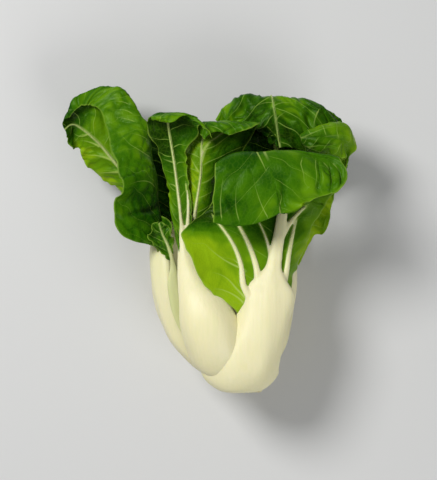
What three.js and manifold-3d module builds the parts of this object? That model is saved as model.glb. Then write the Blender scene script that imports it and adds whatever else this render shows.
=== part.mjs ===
// Bok choy: a whole white-stemmed head lying on its back on a table, its cut stem end
// toward -Y, its leaf tips toward +Y, seen from +Z. Every leaf is one white stalk with
// its main ribs, and one green blade standing in the stalk's edges.
import * as THREE from 'three';
import Module from 'manifold-3d';

// ---------- sizes, in millimetres ----------
const GAP = 0.3; // clear space kept between pieces that touch
const BLADE_THICK = 0.9; // thickness of a green blade
const BLADE_EDGE = 0.7; // its thickness at the margin
const STALK_FULLNESS = 1.9; // stalk thickness at its middle, for the root of its half width
const RIB_SINK = 0.25; // share of a rib's radius it stands off the blade's back
const BLADE_ROWS = 15; // steps along a blade
const BLADE_COLS = 6; // steps across each half of a blade
const STALK_ROWS = 20; // steps along a stalk
const STALK_COLS = 8; // steps across a stalk
const RIB_ROWS = 7; // steps along a side rib
const RIB_SIDES = 6; // faces round a side rib
const CORE = { x: 18.5, z: 40, cut: -91.5, rows: [[0, 12.5], [3, 14], [9, 14], [14, 11], [18, 5]] };
const CORE_SIDES = 20;
const SMALLEST = [0.06, 0.09, 0.12, 0.16, 0.04]; // finer details are smoothed away, the first that holds
const TABLE = 1.2; // height at which the lowest stalks are pressed flat
const ORIGIN = [-1.671, -0.014, 1.2]; // moved to the origin: middle of the box, on the table
const WHITE = 0xe9e2b8;
const CORE_WHITE = 0xe4ddb0;
const GREEN = 0x477a12;

// ---------- the leaves ----------
// spine: points of the middle line from the stem to the tip, in order; a station is the
// number of a point, and may lie between two.
// across: [station, x, y, z], the way toward the leaf's plus side.
// halfWidth: [station, half the stalk's width], cup: [station, degrees its edges turn in].
// plus, minus: the blade's two margins, [station, x, y, z, reach, lift, slip]. The blade
// leaves the spine level, reach across it (half the way if 0), lifted and slipped by the
// last two.
// wave: [station, height of the waves at the margin], rate: waves for each station.
// ribs: [side, three places on the blade as station and share of the half blade, first radius,
//   last radius].
const LEAVES = [
  {
    name: 'front_right',
    spine: [
      [18, -84, 46], [17, -88, 54], [17.8, -85, 63], [20.5, -75, 69.5], [27, -58, 72],
      [32, -40, 71], [35.5, -24, 69], [38.2, -8, 67], [41, 8, 66], [42.3, 24, 66], [38.5, 39, 70],
      [33, 48, 78], [31, 50, 86], [34, 43, 92], [37.5, 30, 94], [40, 15, 93],
    ],
    across: [
      [0, 1, 0, 0], [15, 1, 0, 0],
    ],
    halfWidth: [
      [0, 17], [1, 26], [2, 28], [3, 25.2], [4, 17.8], [4.7, 16.6], [5.3, 16.8], [5.7, 15.4],
      [6.05, 9.5], [6.4, 5.3], [6.9, 4.2], [8, 3.4], [9, 2.8], [10, 1.9], [11, 1.1], [12, 0.8],
      [13, 0.6], [15, 0.5],
    ],
    cup: [
      [0, 50], [1, 56], [2, 64], [3, 68], [4, 48], [5, 38], [6, 20], [7, 6], [8, 2], [15, 0],
    ],
    plus: [
      [4.7, 44, -50, 65], [5.2, 47, -37.5, 63], [5.8, 47.5, -26.5, 59], [6.5, 52, -16, 56],
      [7.2, 55.5, -6, 56], [8, 60, 6.5, 58], [9, 67.5, 19.5, 62], [10, 74, 31, 71],
      [11, 78, 39.5, 80, 22, 2], [11.8, 74.5, 45, 86, 22, 2], [12.5, 78, 41, 90, 22],
      [13, 78.5, 33.5, 92, 22], [13.5, 73.5, 27, 94, 20], [14, 65.5, 25, 94],
      [15, 53.5, 20, 94, 0, 0, 3],
    ],
    minus: [
      [4.7, 17, -51, 66], [5.2, 13, -40.5, 69], [5.8, 0.5, -32, 75, 18],
      [6.4, -7.5, -21.5, 77, 28], [7, -13.5, -7.5, 76, 34], [7.5, -17, 3, 73, 36],
      [8.1, -12, 9, 68, 34], [9, -3, 19, 64, 26], [10, 0.5, 33.5, 70, 22],
      [11, 2, 42.5, 80, 22, 2], [12, 0.5, 44.5, 88, 20, 2], [13, -2.5, 35, 94, 22],
      [14, -2, 20, 95, 22], [15, 1.5, 9.5, 93, 22, 0, 9],
    ],
    wave: [[0, 0], [5, 0.3], [8, 0.8], [15, 1.2]],
    rate: 0.6,
    ribs: [[-1, 5.34, 0.63, 6.64, 0.37, 8.23, 0.71, 2.3, 0.7], [-1, 5.46, 0.23, 6.74, 0.21, 8.13, 0.45, 2.6, 0.9], [-1, 6.64, 0.03, 7.42, 0.1, 8.21, 0.23, 1.4, 0.5], [1, 5.53, 0.54, 6.93, 0.41, 8.29, 0.41, 2.4, 0.9], [1, 7.55, 0.07, 8.21, 0.28, 8.77, 0.56, 2, 1]],
  },
  {
    name: 'front_left',
    spine: [
      [13, -81, 46], [10, -80, 56], [5, -75, 66], [1.9, -63, 73], [-1.5, -49, 75.5],
      [-5.2, -36, 73], [-11, -23, 67], [-15.2, -8, 61], [-17, 6, 59], [-19, 24, 60],
      [-21.5, 44, 63], [-24, 60, 66], [-25.5, 70, 70], [-25, 73.5, 75], [-22.5, 72, 79],
      [-19.5, 69.5, 80.5],
    ],
    across: [
      [0, 1, 0, 0], [15, 1, 0, 0],
    ],
    halfWidth: [
      [0, 8], [1, 18], [2, 21], [3, 21.5], [4, 20.2], [5, 16.4], [6, 9.8], [7, 4.7], [7.6, 2.9],
      [8.1, 1.75], [9, 1.2], [10, 0.9], [12, 0.7], [15, 0.5],
    ],
    cup: [
      [0, 60], [1, 70], [2, 75], [3, 72], [4, 66], [5, 58], [6, 48], [7, 30], [8, 12], [10, 3],
      [15, 0],
    ],
    plus: [
      [6.8, -11.5, 2, 61], [8, -11.5, 14.5, 61], [9, -12, 27.5, 62], [10, -14, 40.5, 64],
      [11, -14, 52, 67], [12, -7, 61.5, 71], [13, -6.5, 66, 77], [14, -3, 63.5, 80],
      [15, 2, 59, 80],
    ],
    minus: [
      [6.8, -18, 0.5, 61], [8, -23, 16, 57], [9, -25.5, 29, 57], [10, -28.5, 42, 60],
      [11, -33, 55, 62], [12, -37.5, 64.5, 66], [13, -37.5, 70, 72], [14, -34.5, 70.5, 76],
      [15, -30.5, 70, 78],
    ],
    wave: [[0, 0], [8, 0.4], [15, 1.2]],
    rate: 0.6,
    ribs: [[1, 7.82, 0.28, 8.61, 0.67, 9.38, 0.74, 1.45, 0.5]],
  },
  {
    name: 'left',
    spine: [
      [9, -80, 40], [-3, -77.5, 41], [-12, -70.5, 43], [-21.9, -59, 43.5], [-27.8, -44, 44],
      [-31.5, -28, 44], [-32.4, -10, 43], [-32, 3, 40], [-36, 18, 36], [-46, 32, 33],
      [-57, 45, 32], [-67, 57, 32], [-76, 65, 33], [-83, 69, 35], [-88, 66, 38],
    ],
    across: [
      [0, 0.5, 0, 0.87], [6, 0.5, 0, 0.87], [7, 0.65, 0.2, 0.65], [8, 0.88, 0.4, 0.25],
      [9, 0.88, 0.48, 0.2], [10, 0.82, 0.6, 0.2], [11, 0.68, 0.75, 0.2], [12, 0.45, 0.9, 0.15],
      [13, 0.2, 1, 0.1], [14, 0.05, 1, 0],
    ],
    halfWidth: [
      [0, 7], [1, 11], [2, 12], [3, 11.6], [4, 11.6], [5, 11.5], [6, 10.5], [6.6, 7.2], [7.1, 4.4],
      [8, 2.4], [9, 1.9], [10, 1.5], [12, 1], [14, 0.5],
    ],
    cup: [
      [0, 50], [1, 55], [3, 52], [5, 46], [6, 38], [7, 8], [8, 0], [14, 0],
    ],
    plus: [
      [6, -32.5, -4, 52, 4], [6.5, -41.5, -2.5, 58, 12], [7, -52.5, 2, 63, 14],
      [7.5, -57, 12.5, 65, 14], [8, -56.5, 23, 66, 17], [8.6, -52, 30.5, 65, 28],
      [9.4, -55.5, 43, 61, 43], [10.2, -60, 54.5, 52, 56], [11, -62.5, 66.5, 46, 58],
      [11.8, -66.5, 76, 42, 58], [12.6, -72.5, 80.5, 40, 46], [13, -76, 80, 40, 29],
      [13.4, -79, 79, 40, 14], [14, -84.5, 73, 41, 8],
    ],
    minus: [
      [6, -25.5, -2.5, 44], [6.5, -23.5, 6.5, 46], [7, -27.5, 13, 43], [7.5, -37, 17, 34],
      [8, -45.5, 17.5, 27], [9, -56, 28.5, 23], [10, -65.5, 37, 24], [11, -76, 45, 26],
      [11.8, -79.5, 53.5, 29], [12.6, -82, 54.5, 33], [13.3, -85, 56, 36], [14, -86.5, 60.5, 39],
    ],
    wave: [[0, 0], [6, 0.5], [8, 1], [14, 1]],
    rate: 0.6,
    ribs: [],
  },
  {
    name: 'centre',
    spine: [
      [16, -76, 40], [10, -62, 44], [3, -44, 48], [-4, -24, 51], [-11, -2, 55], [-9, 18, 59],
      [-6, 38, 62], [-5.5, 54, 63], [-4, 64, 64], [-3, 68.5, 69], [-1, 66.5, 73.5], [1, 62, 75],
    ],
    across: [
      [0, 1, 0, 0], [11, 1, 0, 0],
    ],
    halfWidth: [
      [0, 8], [1, 13], [2, 14.5], [3, 11], [3.6, 5.5], [4, 3.4], [5, 1.5], [6, 1], [8, 0.7],
      [11, 0.5],
    ],
    cup: [
      [0, 60], [2, 55], [4, 20], [6, 0], [11, 0],
    ],
    plus: [
      [3.8, -9, -3.5, 52], [4.4, -4.5, 5.5, 51], [5, -0.5, 17, 51], [6, 6.5, 36, 53],
      [7, 18, 51, 58], [8, 26.5, 64, 62], [9, 29, 68, 69], [10, 23, 64, 74], [11, 11, 60.5, 76],
    ],
    minus: [
      [3.8, -13, -3.5, 52], [5, -15.5, 16, 50], [6, -16, 35, 51], [7, -15, 50, 54],
      [8, -12.5, 61, 60], [9, -8.5, 64, 67], [10, -6.5, 61, 70], [11, -3, 58, 73],
    ],
    wave: [[0, 0], [5, 0.5], [11, 1.4]],
    rate: 0.6,
    ribs: [[1, 6.6, 0.03, 7.1, 0.12, 7.9, 0.36, 1, 0.5]],
  },
  {
    name: 'right',
    spine: [
      [27, -80, 38], [31.5, -76, 38], [37.3, -62, 38], [43.3, -46, 39], [47.5, -30, 41],
      [49, -12, 43], [52, 2, 44], [56, 16, 45], [62, 30, 46], [70, 42, 47], [79, 49, 50],
      [81, 55.5, 59], [75, 58.5, 66], [64, 60, 69], [53, 59, 66],
    ],
    across: [
      [0, 0, 0, -1], [5, 0, 0, -1], [6, 0.4, -0.3, -0.8], [7, 0.8, -0.5, -0.3], [9, 0.75, -0.6, 0],
      [10, 0.8, -0.3, 0.2], [11, 0.7, 0.3, 0.2], [12, 0.3, 0.8, 0], [14, 0.1, 1, 0],
    ],
    halfWidth: [
      [0, 8], [1, 13], [2, 14.5], [3, 15], [4, 14], [5, 10], [6, 4.2], [8, 2.1], [10, 1.2],
      [14, 0.6],
    ],
    cup: [
      [0, 50], [3, 60], [5, 40], [6, 15], [8, 0], [14, 0],
    ],
    plus: [
      [5, 53.5, -16.5, 34], [6, 58, -5.5, 36], [6.6, 62.5, 1, 38], [7.2, 68.5, 4, 40],
      [8, 72, 16, 43], [9, 74.5, 30, 46], [9.6, 79, 37, 47], [10.3, 81, 46.5, 50],
      [11, 85.5, 54.5, 55], [11.7, 85.5, 62, 59, 0, -3], [12.3, 79, 67, 61, 0, -7],
      [13, 69.5, 68, 61.5, 0, -8], [13.6, 59, 66, 62.5, 0, -5], [14, 52, 61, 63],
    ],
    minus: [
      [5, 46, -13.5, 50], [6, 44.5, -0.5, 52], [7, 49, 11.5, 52], [8, 53.5, 24.5, 52],
      [9, 59, 35, 52], [10, 67.5, 42.5, 50], [11, 80.5, 48.5, 56, 0, -2],
      [12, 75, 47.5, 61, 0, -7], [13, 64.5, 49, 61.5, 0, -8], [13.6, 58, 52.5, 62.5, 0, -5],
      [14, 52.5, 57, 63],
    ],
    wave: [[0, 0], [6, 0.8], [14, 1]],
    rate: 0.6,
    ribs: [],
  },
  {
    name: 'back_right',
    spine: [
      [23, -80, 31], [26, -79, 20.3], [29, -68, 10.5], [32, -50, 5.6], [35, -28, 5],
      [39.5, -7, 7.2], [43, 16, 14], [42, 38, 22], [39, 58, 32], [36.5, 74, 42], [35.5, 83, 50],
      [36, 84, 56], [37, 78, 60], [39, 66, 60], [41, 54, 58],
    ],
    across: [
      [0, -0.98, 0, -0.2], [2, -0.97, 0, -0.24], [4, -0.97, 0, -0.24], [6, -1, 0, 0],
      [14, -1, 0, 0],
    ],
    halfWidth: [
      [0, 10], [1, 22], [2, 29.5], [3, 31], [4, 28.5], [5, 19.5], [6, 8.5], [7, 3.5], [9, 1.6],
      [10, 1], [12, 0.8], [14, 0.5],
    ],
    cup: [
      [0, 70], [1, 92], [2, 98], [3, 95], [4, 80], [5, 50], [6, 18], [8, 0], [14, 0],
    ],
    plus: [
      [5.6, 31, 8.5, 14], [6.5, 20.5, 27, 16], [7.5, 11.5, 43, 24], [8.5, 3.5, 58.5, 33],
      [9.5, 1, 67, 43], [10.3, 3, 71, 50, 27, -3], [11, 3.5, 70, 54, 27, -4], [12, 8, 67, 57, 26],
      [12.7, 19, 69, 60, 18], [13.3, 29, 69, 60, 13], [13.7, 35, 66, 60, 8], [14, 40, 59.5, 59, 3],
    ],
    minus: [
      [5.6, 51.5, 8.5, 14], [6.5, 60.5, 27, 18], [7.5, 69, 40.5, 26], [8.5, 77.5, 52.5, 36],
      [9.5, 83.5, 60, 45], [10.3, 84, 62.5, 50, 32, -2], [11, 83, 62.5, 54, 32, -3],
      [12, 80, 55, 56, 34], [13, 69.5, 49, 57, 26], [14, 55, 46.5, 57, 12],
    ],
    wave: [[0, 0], [7, 0.8], [14, 2]],
    rate: 0.6,
    ribs: [],
  },
  {
    name: 'back_left',
    spine: [
      [13, -79, 31], [8, -77, 20.5], [-5, -65, 10.8], [-16, -48, 6.2], [-20, -28, 5.7],
      [-18.5, -8, 7], [-17, 14, 10], [-22, 34, 14], [-27, 50, 14], [-30, 61, 9], [-31, 67, 3],
    ],
    across: [
      [0, -0.98, 0, 0.2], [2, -0.94, 0, 0.34], [4, -0.94, 0, 0.34], [6, -1, 0, 0], [10, -1, 0, 0],
    ],
    halfWidth: [
      [0, 10], [1, 21.5], [2, 29], [3, 30.5], [4, 27.5], [5, 17], [6, 7], [7, 3.4], [9, 2],
      [10, 0.8],
    ],
    cup: [
      [0, 70], [1, 92], [2, 98], [3, 95], [4, 78], [5, 48], [6, 16], [8, 0], [10, 0],
    ],
    plus: [
      [5.4, -24, 2, 12], [6.2, -36, 18, 18], [7, -48, 34, 21], [8, -56, 52, 20], [9, -50, 66, 12],
      [10, -42, 71, 4],
    ],
    minus: [
      [5.4, 0, 2, 12], [6.2, 4, 18, 18], [7, 7, 34, 20], [8, 8, 52, 20], [9, 2, 66, 13],
      [10, -18, 72, 4],
    ],
    wave: [[0, 0], [6, 0.8], [10, 1.4]],
    rate: 0.6,
    ribs: [],
  },
  {
    name: 'small',
    spine: [
      [13, -76, 42], [-3, -68, 47], [-13.4, -57, 50.5], [-19.2, -43, 52], [-21.6, -28, 53],
      [-22.4, -15, 55.5], [-25, -5, 59.5], [-28.5, 3, 62.5], [-30.5, 9.5, 65],
    ],
    across: [
      [0, 1, 0, 0], [8, 1, 0, 0],
    ],
    halfWidth: [
      [0, 6], [1, 8], [2, 7.5], [3, 6], [4, 4.5], [5, 1.8], [6, 1.1], [8, 0.5],
    ],
    cup: [
      [0, 60], [2, 50], [4, 20], [6, 0],
    ],
    plus: [
      [5.2, -22.5, -12, 56], [5.8, -22, -6.5, 59], [6.4, -22.5, -1, 62], [7, -23, 3.5, 64],
      [7.5, -25, 7.5, 65], [8, -29.5, 10.5, 65],
    ],
    minus: [
      [5.2, -25.5, -11.5, 57], [5.8, -31, -6, 60], [6.4, -35.5, -1, 63], [7, -37, 3.5, 66],
      [7.5, -35.5, 7.5, 66.5], [8, -31, 10.5, 65],
    ],
    wave: [[0, 0], [4.5, 0.6], [8, 1.5]],
    rate: 1.1,
    ribs: [],
  },
];

const wasm = await Module();
wasm.setup();

// ---------- small vector sums ----------
const add = (a, b, k = 1) => [a[0] + k * b[0], a[1] + k * b[1], a[2] + k * b[2]];
const sub = (a, b) => add(a, b, -1);
const dot = (a, b) => a[0] * b[0] + a[1] * b[1] + a[2] * b[2];
const cross = (a, b) => [a[1] * b[2] - a[2] * b[1], a[2] * b[0] - a[0] * b[2], a[0] * b[1] - a[1] * b[0]];
const unit = (a) => {
  const length = Math.sqrt(dot(a, a)) || 1;
  return [a[0] / length, a[1] / length, a[2] / length];
};

// A smooth line through keyed rows [at, values...], read at u.
function through(keys, u) {
  const last = keys.length - 1;
  const at = Math.min(Math.max(u, keys[0][0]), keys[last][0]);
  let i = 0;
  while (i < last - 1 && keys[i + 1][0] <= at) i += 1;
  const width = (k) => keys[k + 1][0] - keys[k][0];
  const rise = (k, c) => (keys[k + 1][c] - keys[k][c]) / width(k);
  const inner = (k, c) => (rise(k - 1, c) * width(k) + rise(k, c) * width(k - 1)) / (width(k) + width(k - 1));
  const slope = (k, c) => {
    if (last === 1) return rise(0, c);
    if (k === 0) return 1.5 * rise(0, c) - 0.5 * inner(1, c);
    if (k === last) return 1.5 * rise(last - 1, c) - 0.5 * inner(last - 1, c);
    return inner(k, c);
  };
  const h = width(i);
  const q = (at - keys[i][0]) / h;
  const values = [];
  for (let c = 1; c < keys[0].length; c += 1) {
    const start = (1 + 2 * q) * (1 - q) * (1 - q) * keys[i][c] + q * (1 - q) * (1 - q) * h * slope(i, c);
    const end = q * q * (3 - 2 * q) * keys[i + 1][c] + q * q * (q - 1) * h * slope(i + 1, c);
    values.push(start + end);
  }
  return values;
}

// Place on a leaf's middle line, the way along it, the way across it and the way out of
// its inner face.
function frameAt(leaf, u) {
  const keys = leaf.spine.map((point, i) => [i, ...point]);
  const last = leaf.spine.length - 1;
  const place = through(keys, u);
  const along = unit(sub(through(keys, Math.min(u + 0.001, last)), through(keys, Math.max(u - 0.001, 0))));
  const way = through(leaf.across, u);
  const across = unit(add(way, along, -dot(way, along)));
  return { place, along, across, inward: cross(along, across) };
}

// A point of the blade's middle sheet: v runs from 0 at the spine to 1 at the margin.
function sheetPoint(leaf, u, side, v, grow) {
  const f = frameAt(leaf, u);
  const rows = (side > 0 ? leaf.plus : leaf.minus).map((row) => [...row, 0, 0, 0].slice(0, 7));
  const m = through(rows, u);
  const edge = [m[0], m[1], m[2]];
  const span = sub(edge, f.place);
  const wide = Math.sqrt(dot(span, span));
  const reach = Math.abs(m[3]) < 0.01 ? wide / 2 : m[3];
  let bend = add(f.place, f.across, side * reach);
  bend = add(bend, f.inward, m[4]);
  bend = add(bend, f.along, m[5]);
  const out = unit(sub(edge, bend));
  const end = add(edge, out, grow);
  const point = [0, 1, 2].map((c) => (1 - v) * (1 - v) * f.place[c] + 2 * v * (1 - v) * bend[c] + v * v * end[c]);
  const height = through(leaf.wave, u)[0] * v ** 1.6 * Math.sin(2 * Math.PI * u * leaf.rate + side * 1.3);
  return { point, height };
}

// A closed solid from a list of vertices and triangles.
const solid = (points, triangles) => {
  const mesh = new wasm.Mesh({
    numProp: 3,
    vertProperties: new Float32Array(points.flat()),
    triVerts: new Uint32Array(triangles.flat()),
  });
  return new wasm.Manifold(mesh);
};

// A closed skin over rings of equal length, its ends shut.
function loft(rings) {
  const n = rings[0].length;
  const points = rings.flat();
  const triangles = [];
  for (let i = 0; i + 1 < rings.length; i += 1) {
    for (let j = 0; j < n; j += 1) {
      const a = i * n + j;
      const b = i * n + ((j + 1) % n);
      triangles.push([a, b, b + n], [a, b + n, a + n]);
    }
  }
  const middle = (ring) => ring.reduce((sum, p) => add(sum, p, 1 / n), [0, 0, 0]);
  points.push(middle(rings[0]), middle(rings[rings.length - 1]));
  const top = (rings.length - 1) * n;
  for (let j = 0; j < n; j += 1) {
    triangles.push([(j + 1) % n, j, points.length - 2]);
    triangles.push([top + j, top + ((j + 1) % n), points.length - 1]);
  }
  return solid(points, triangles);
}

// The white stalk: a crescent that is widest at the belly and thins to the midrib.
function stalkSolid(leaf, grow) {
  const last = leaf.spine.length - 1;
  const rings = [];
  for (let i = 0; i <= STALK_ROWS; i += 1) {
    const u = (last - 0.25) * (i / STALK_ROWS);
    const f = frameAt(leaf, u);
    const half = Math.max(through(leaf.halfWidth, u)[0], 0.4);
    const turn = (Math.max(through(leaf.cup, u)[0], 0.01) * Math.PI) / 180;
    const thick = STALK_FULLNESS * Math.sqrt(half) + 2 * grow;
    const face = (sign) => {
      const row = [];
      for (let k = 0; k <= STALK_COLS; k += 1) {
        const sigma = -Math.cos((Math.PI * k) / STALK_COLS);
        const angle = turn * Math.abs(sigma);
        const radius = half / turn;
        const sideways = radius * Math.sin(angle) + (grow * Math.abs(sigma)) * Math.cos(angle);
        const lifted = radius * (1 - Math.cos(angle)) + (grow * Math.abs(sigma)) * Math.sin(angle);
        const t = (sign * thick * Math.sqrt(Math.max(1 - Math.abs(sigma) ** 2.2, 0))) / 2;
        let p = add(f.place, f.across, Math.sign(sigma) * (sideways - t * Math.sin(angle)));
        p = add(p, f.inward, lifted + t * Math.cos(angle));
        row.push(p);
      }
      return row;
    };
    const back = face(-1);
    const front = face(1);
    rings.push([...back, ...front.slice(1, -1).reverse()]);
  }
  return loft(rings);
}

// A side rib: a tapering round cord lying on the blade's back.
function ribSolid(leaf, rib, grow) {
  const [side, uStart, vStart, uHalf, vHalf, uEnd, vEnd, rStart, rEnd] = rib;
  const path = [];
  const backs = [];
  const at = (q) => {
    const first = (1 - q) * (1 - 2 * q);
    const half = 4 * q * (1 - q);
    const final = q * (2 * q - 1);
    const u = first * uStart + half * uHalf + final * uEnd;
    const v = first * vStart + half * vHalf + final * vEnd;
    const here = sheetPoint(leaf, u, side, v, 0);
    const on = sheetPoint(leaf, u + 0.02, side, v, 0);
    const by = sheetPoint(leaf, u, side, v + 0.02, 0);
    const normal = unit(cross(sub(on.point, here.point), sub(by.point, here.point)));
    const inward = [normal[0] * side, normal[1] * side, normal[2] * side];
    return { p: add(here.point, inward, here.height), inward };
  };
  for (let i = 0; i <= RIB_ROWS; i += 1) {
    const { p, inward } = at(i / RIB_ROWS);
    const radius = rStart + (rEnd - rStart) * (i / RIB_ROWS);
    path.push(add(p, inward, -RIB_SINK * radius));
    backs.push(inward);
  }
  const rings = path.map((p, i) => {
    const tangent = unit(sub(path[Math.min(i + 1, RIB_ROWS)], path[Math.max(i - 1, 0)]));
    const across = unit(cross(tangent, backs[i]));
    const up = cross(across, tangent);
    const radius = rStart + (rEnd - rStart) * (i / RIB_ROWS) + grow;
    const ring = [];
    for (let k = 0; k < RIB_SIDES; k += 1) {
      const angle = (2 * Math.PI * k) / RIB_SIDES;
      const q = add(p, across, radius * Math.cos(angle));
      ring.push(add(q, up, radius * Math.sin(angle)));
    }
    return ring.reverse();
  });
  return loft(rings);
}

// The green blade: a thin sheet between its two margins, both faces split alike.
function bladeSolid(leaf, grow) {
  const start = leaf.plus[0][0];
  const last = leaf.spine.length - 1;
  const cols = 2 * BLADE_COLS + 1;
  const sheet = [];
  for (let i = 0; i <= BLADE_ROWS; i += 1) {
    const u = start + (last - start) * (i / BLADE_ROWS);
    const row = [];
    for (let j = 0; j < cols; j += 1) {
      const side = j < BLADE_COLS ? -1 : 1;
      row.push(sheetPoint(leaf, u, side, Math.abs(j - BLADE_COLS) / BLADE_COLS, grow));
    }
    sheet.push(row);
  }
  const point = (i, j) => sheet[Math.min(Math.max(i, 0), BLADE_ROWS)][Math.min(Math.max(j, 0), cols - 1)].point;
  const front = [];
  const back = [];
  for (let i = 0; i <= BLADE_ROWS; i += 1) {
    for (let j = 0; j < cols; j += 1) {
      const along = sub(point(i + 1, j), point(i - 1, j));
      const across = sub(point(i, j + 1), point(i, j - 1));
      const inward = unit(cross(along, across));
      const share = Math.abs(j - BLADE_COLS) / BLADE_COLS;
      const thick = BLADE_THICK + (BLADE_EDGE - BLADE_THICK) * share + 2 * grow;
      const middle = add(point(i, j), inward, sheet[i][j].height);
      front.push(add(middle, inward, thick / 2));
      back.push(add(middle, inward, -thick / 2));
    }
  }
  const n = front.length;
  const triangles = [];
  for (let i = 0; i < BLADE_ROWS; i += 1) {
    for (let j = 0; j + 1 < cols; j += 1) {
      const a = i * cols + j;
      triangles.push([a, a + cols, a + cols + 1], [a, a + cols + 1, a + 1]);
      triangles.push([n + a, n + a + cols + 1, n + a + cols], [n + a, n + a + 1, n + a + cols + 1]);
    }
  }
  const rim = [];
  for (let j = 0; j + 1 < cols; j += 1) rim.push(j);
  for (let i = 0; i < BLADE_ROWS; i += 1) rim.push(i * cols + cols - 1);
  for (let j = cols - 1; j > 0; j -= 1) rim.push(BLADE_ROWS * cols + j);
  for (let i = BLADE_ROWS; i > 0; i -= 1) rim.push(i * cols);
  rim.forEach((a, k) => {
    const b = rim[(k + 1) % rim.length];
    triangles.push([a, b, n + b], [a, n + b, n + a]);
  });
  return solid(front.concat(back), triangles);
}

// The stem's short core with its cut face.
function coreSolid(grow) {
  const rings = CORE.rows.map(([step, radius], i) => {
    const y = CORE.cut + step + (i === 0 ? -grow : 0) + (i === CORE.rows.length - 1 ? grow : 0);
    const ring = [];
    for (let k = 0; k < CORE_SIDES; k += 1) {
      const angle = (2 * Math.PI * k) / CORE_SIDES;
      const r = radius + grow;
      ring.push([CORE.x + r * Math.cos(angle), y, CORE.z + r * Math.sin(angle)]);
    }
    return ring;
  });
  return loft(rings.map((ring) => ring.slice().reverse()));
}

// The largest connected skin of a body, without chips or inner pockets.
function largest(body) {
  const mesh = body.getMesh();
  const parent = Array.from({ length: mesh.vertProperties.length / 3 }, (_, i) => i);
  const root = (i) => {
    let k = i;
    while (parent[k] !== k) k = parent[k];
    parent[i] = k;
    return k;
  };
  const triangles = [];
  for (let i = 0; i < mesh.triVerts.length; i += 3) triangles.push([...mesh.triVerts.slice(i, i + 3)]);
  triangles.forEach(([a, b, c]) => {
    parent[root(a)] = root(b);
    parent[root(b)] = root(c);
  });
  const place = (i) => [...mesh.vertProperties.slice(3 * i, 3 * i + 3)];
  const volumes = new Map();
  triangles.forEach(([a, b, c]) => {
    const part = dot(place(a), cross(place(b), place(c))) / 6;
    volumes.set(root(a), (volumes.get(root(a)) || 0) + part);
  });
  const best = [...volumes.entries()].sort((p, q) => q[1] - p[1])[0][0];
  const kept = triangles.filter(([a]) => root(a) === best);
  const used = [...new Set(kept.flat())];
  const renumber = new Map(used.map((old, i) => [old, i]));
  return solid(used.map(place), kept.map((t) => t.map((i) => renumber.get(i))));
}
const isInside = (body) => body.volume() > 0;

// Stalks with their ribs, fitted round the core and one another, the outermost first.
const whole = (leaf, grow) => leaf.ribs.reduce(
  (body, rib) => body.add(ribSolid(leaf, rib, grow)),
  stalkSolid(leaf, grow),
);
const wide = LEAVES.map((leaf) => whole(leaf, GAP));
const coreWide = coreSolid(GAP);
const stalks = LEAVES.map((leaf, i) => {
  let body = whole(leaf, 0).subtract(coreWide);
  for (let k = 0; k < i; k += 1) {
    if (isInside(body.intersect(wide[k]))) body = body.subtract(wide[k]);
  }
  body = body.trimByPlane([0, 0, 1], TABLE);
  body = body.trimByPlane([0, 1, 0], CORE.cut);
  return largest(body);
});

// Blades, cleared of every stalk and of the blades before them.
const bladesWide = LEAVES.map((leaf) => bladeSolid(leaf, GAP));
const blades = LEAVES.map((leaf, i) => {
  let body = bladeSolid(leaf, 0);
  wide.forEach((stalk) => {
    if (isInside(body.intersect(stalk))) body = body.subtract(stalk);
  });
  for (let k = 0; k < i; k += 1) {
    if (isInside(body.intersect(bladesWide[k]))) body = body.subtract(bladesWide[k]);
  }
  return largest(body.trimByPlane([0, 0, 1], TABLE));
});

// ---------- the nodes ----------
const group = new THREE.Group();

// A body's mesh with its vertices on a fine grid, or nothing if that breaks its skin.
function welded(body) {
  const mesh = body.getMesh();
  const index = new Map();
  const places = [];
  const number = [];
  for (let i = 0; i < mesh.vertProperties.length; i += 3) {
    const place = [...mesh.vertProperties.slice(i, i + 3)].map((v, c) => Math.round((v - ORIGIN[c]) * 1000) / 1000);
    const key = place.join();
    if (!index.has(key)) {
      index.set(key, places.length);
      places.push(place);
    }
    number.push(index.get(key));
  }
  const triangles = [];
  for (let i = 0; i < mesh.triVerts.length; i += 3) {
    const [a, b, c] = [...mesh.triVerts.slice(i, i + 3)].map((k) => number[k]);
    if (a !== b && b !== c && c !== a) triangles.push([a, b, c]);
  }
  const edges = new Set();
  let sound = true;
  triangles.forEach(([a, b, c]) => [[a, b], [b, c], [c, a]].forEach(([p, q]) => {
    if (edges.has(`${p} ${q}`)) sound = false;
    edges.add(`${p} ${q}`);
  }));
  edges.forEach((edge) => {
    if (!edges.has(edge.split(' ').reverse().join(' '))) sound = false;
  });
  return sound ? { places, triangles } : null;
}

function node(name, body, colour, roughness) {
  let mesh = null;
  for (const size of SMALLEST) {
    if (!mesh) mesh = welded(largest(body.simplify(size)));
  }
  const geometry = new THREE.BufferGeometry();
  geometry.setAttribute('position', new THREE.BufferAttribute(new Float32Array(mesh.places.flat()), 3));
  geometry.setIndex(new THREE.BufferAttribute(new Uint32Array(mesh.triangles.flat()), 1));
  geometry.computeVertexNormals();
  const material = new THREE.MeshStandardMaterial({ color: colour, roughness, metalness: 0 });
  const object = new THREE.Mesh(geometry, material);
  object.name = name;
  group.add(object);
}

node('stem_core', coreSolid(0), CORE_WHITE, 0.6);
LEAVES.forEach((leaf, i) => {
  node(`${leaf.name}_stalk`, stalks[i], WHITE, 0.4);
  node(`${leaf.name}_blade`, blades[i], GREEN, 0.45);
});

export default group;
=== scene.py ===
import math

import bmesh
import bpy
import numpy as np
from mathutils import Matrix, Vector
from mathutils.kdtree import KDTree


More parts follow.
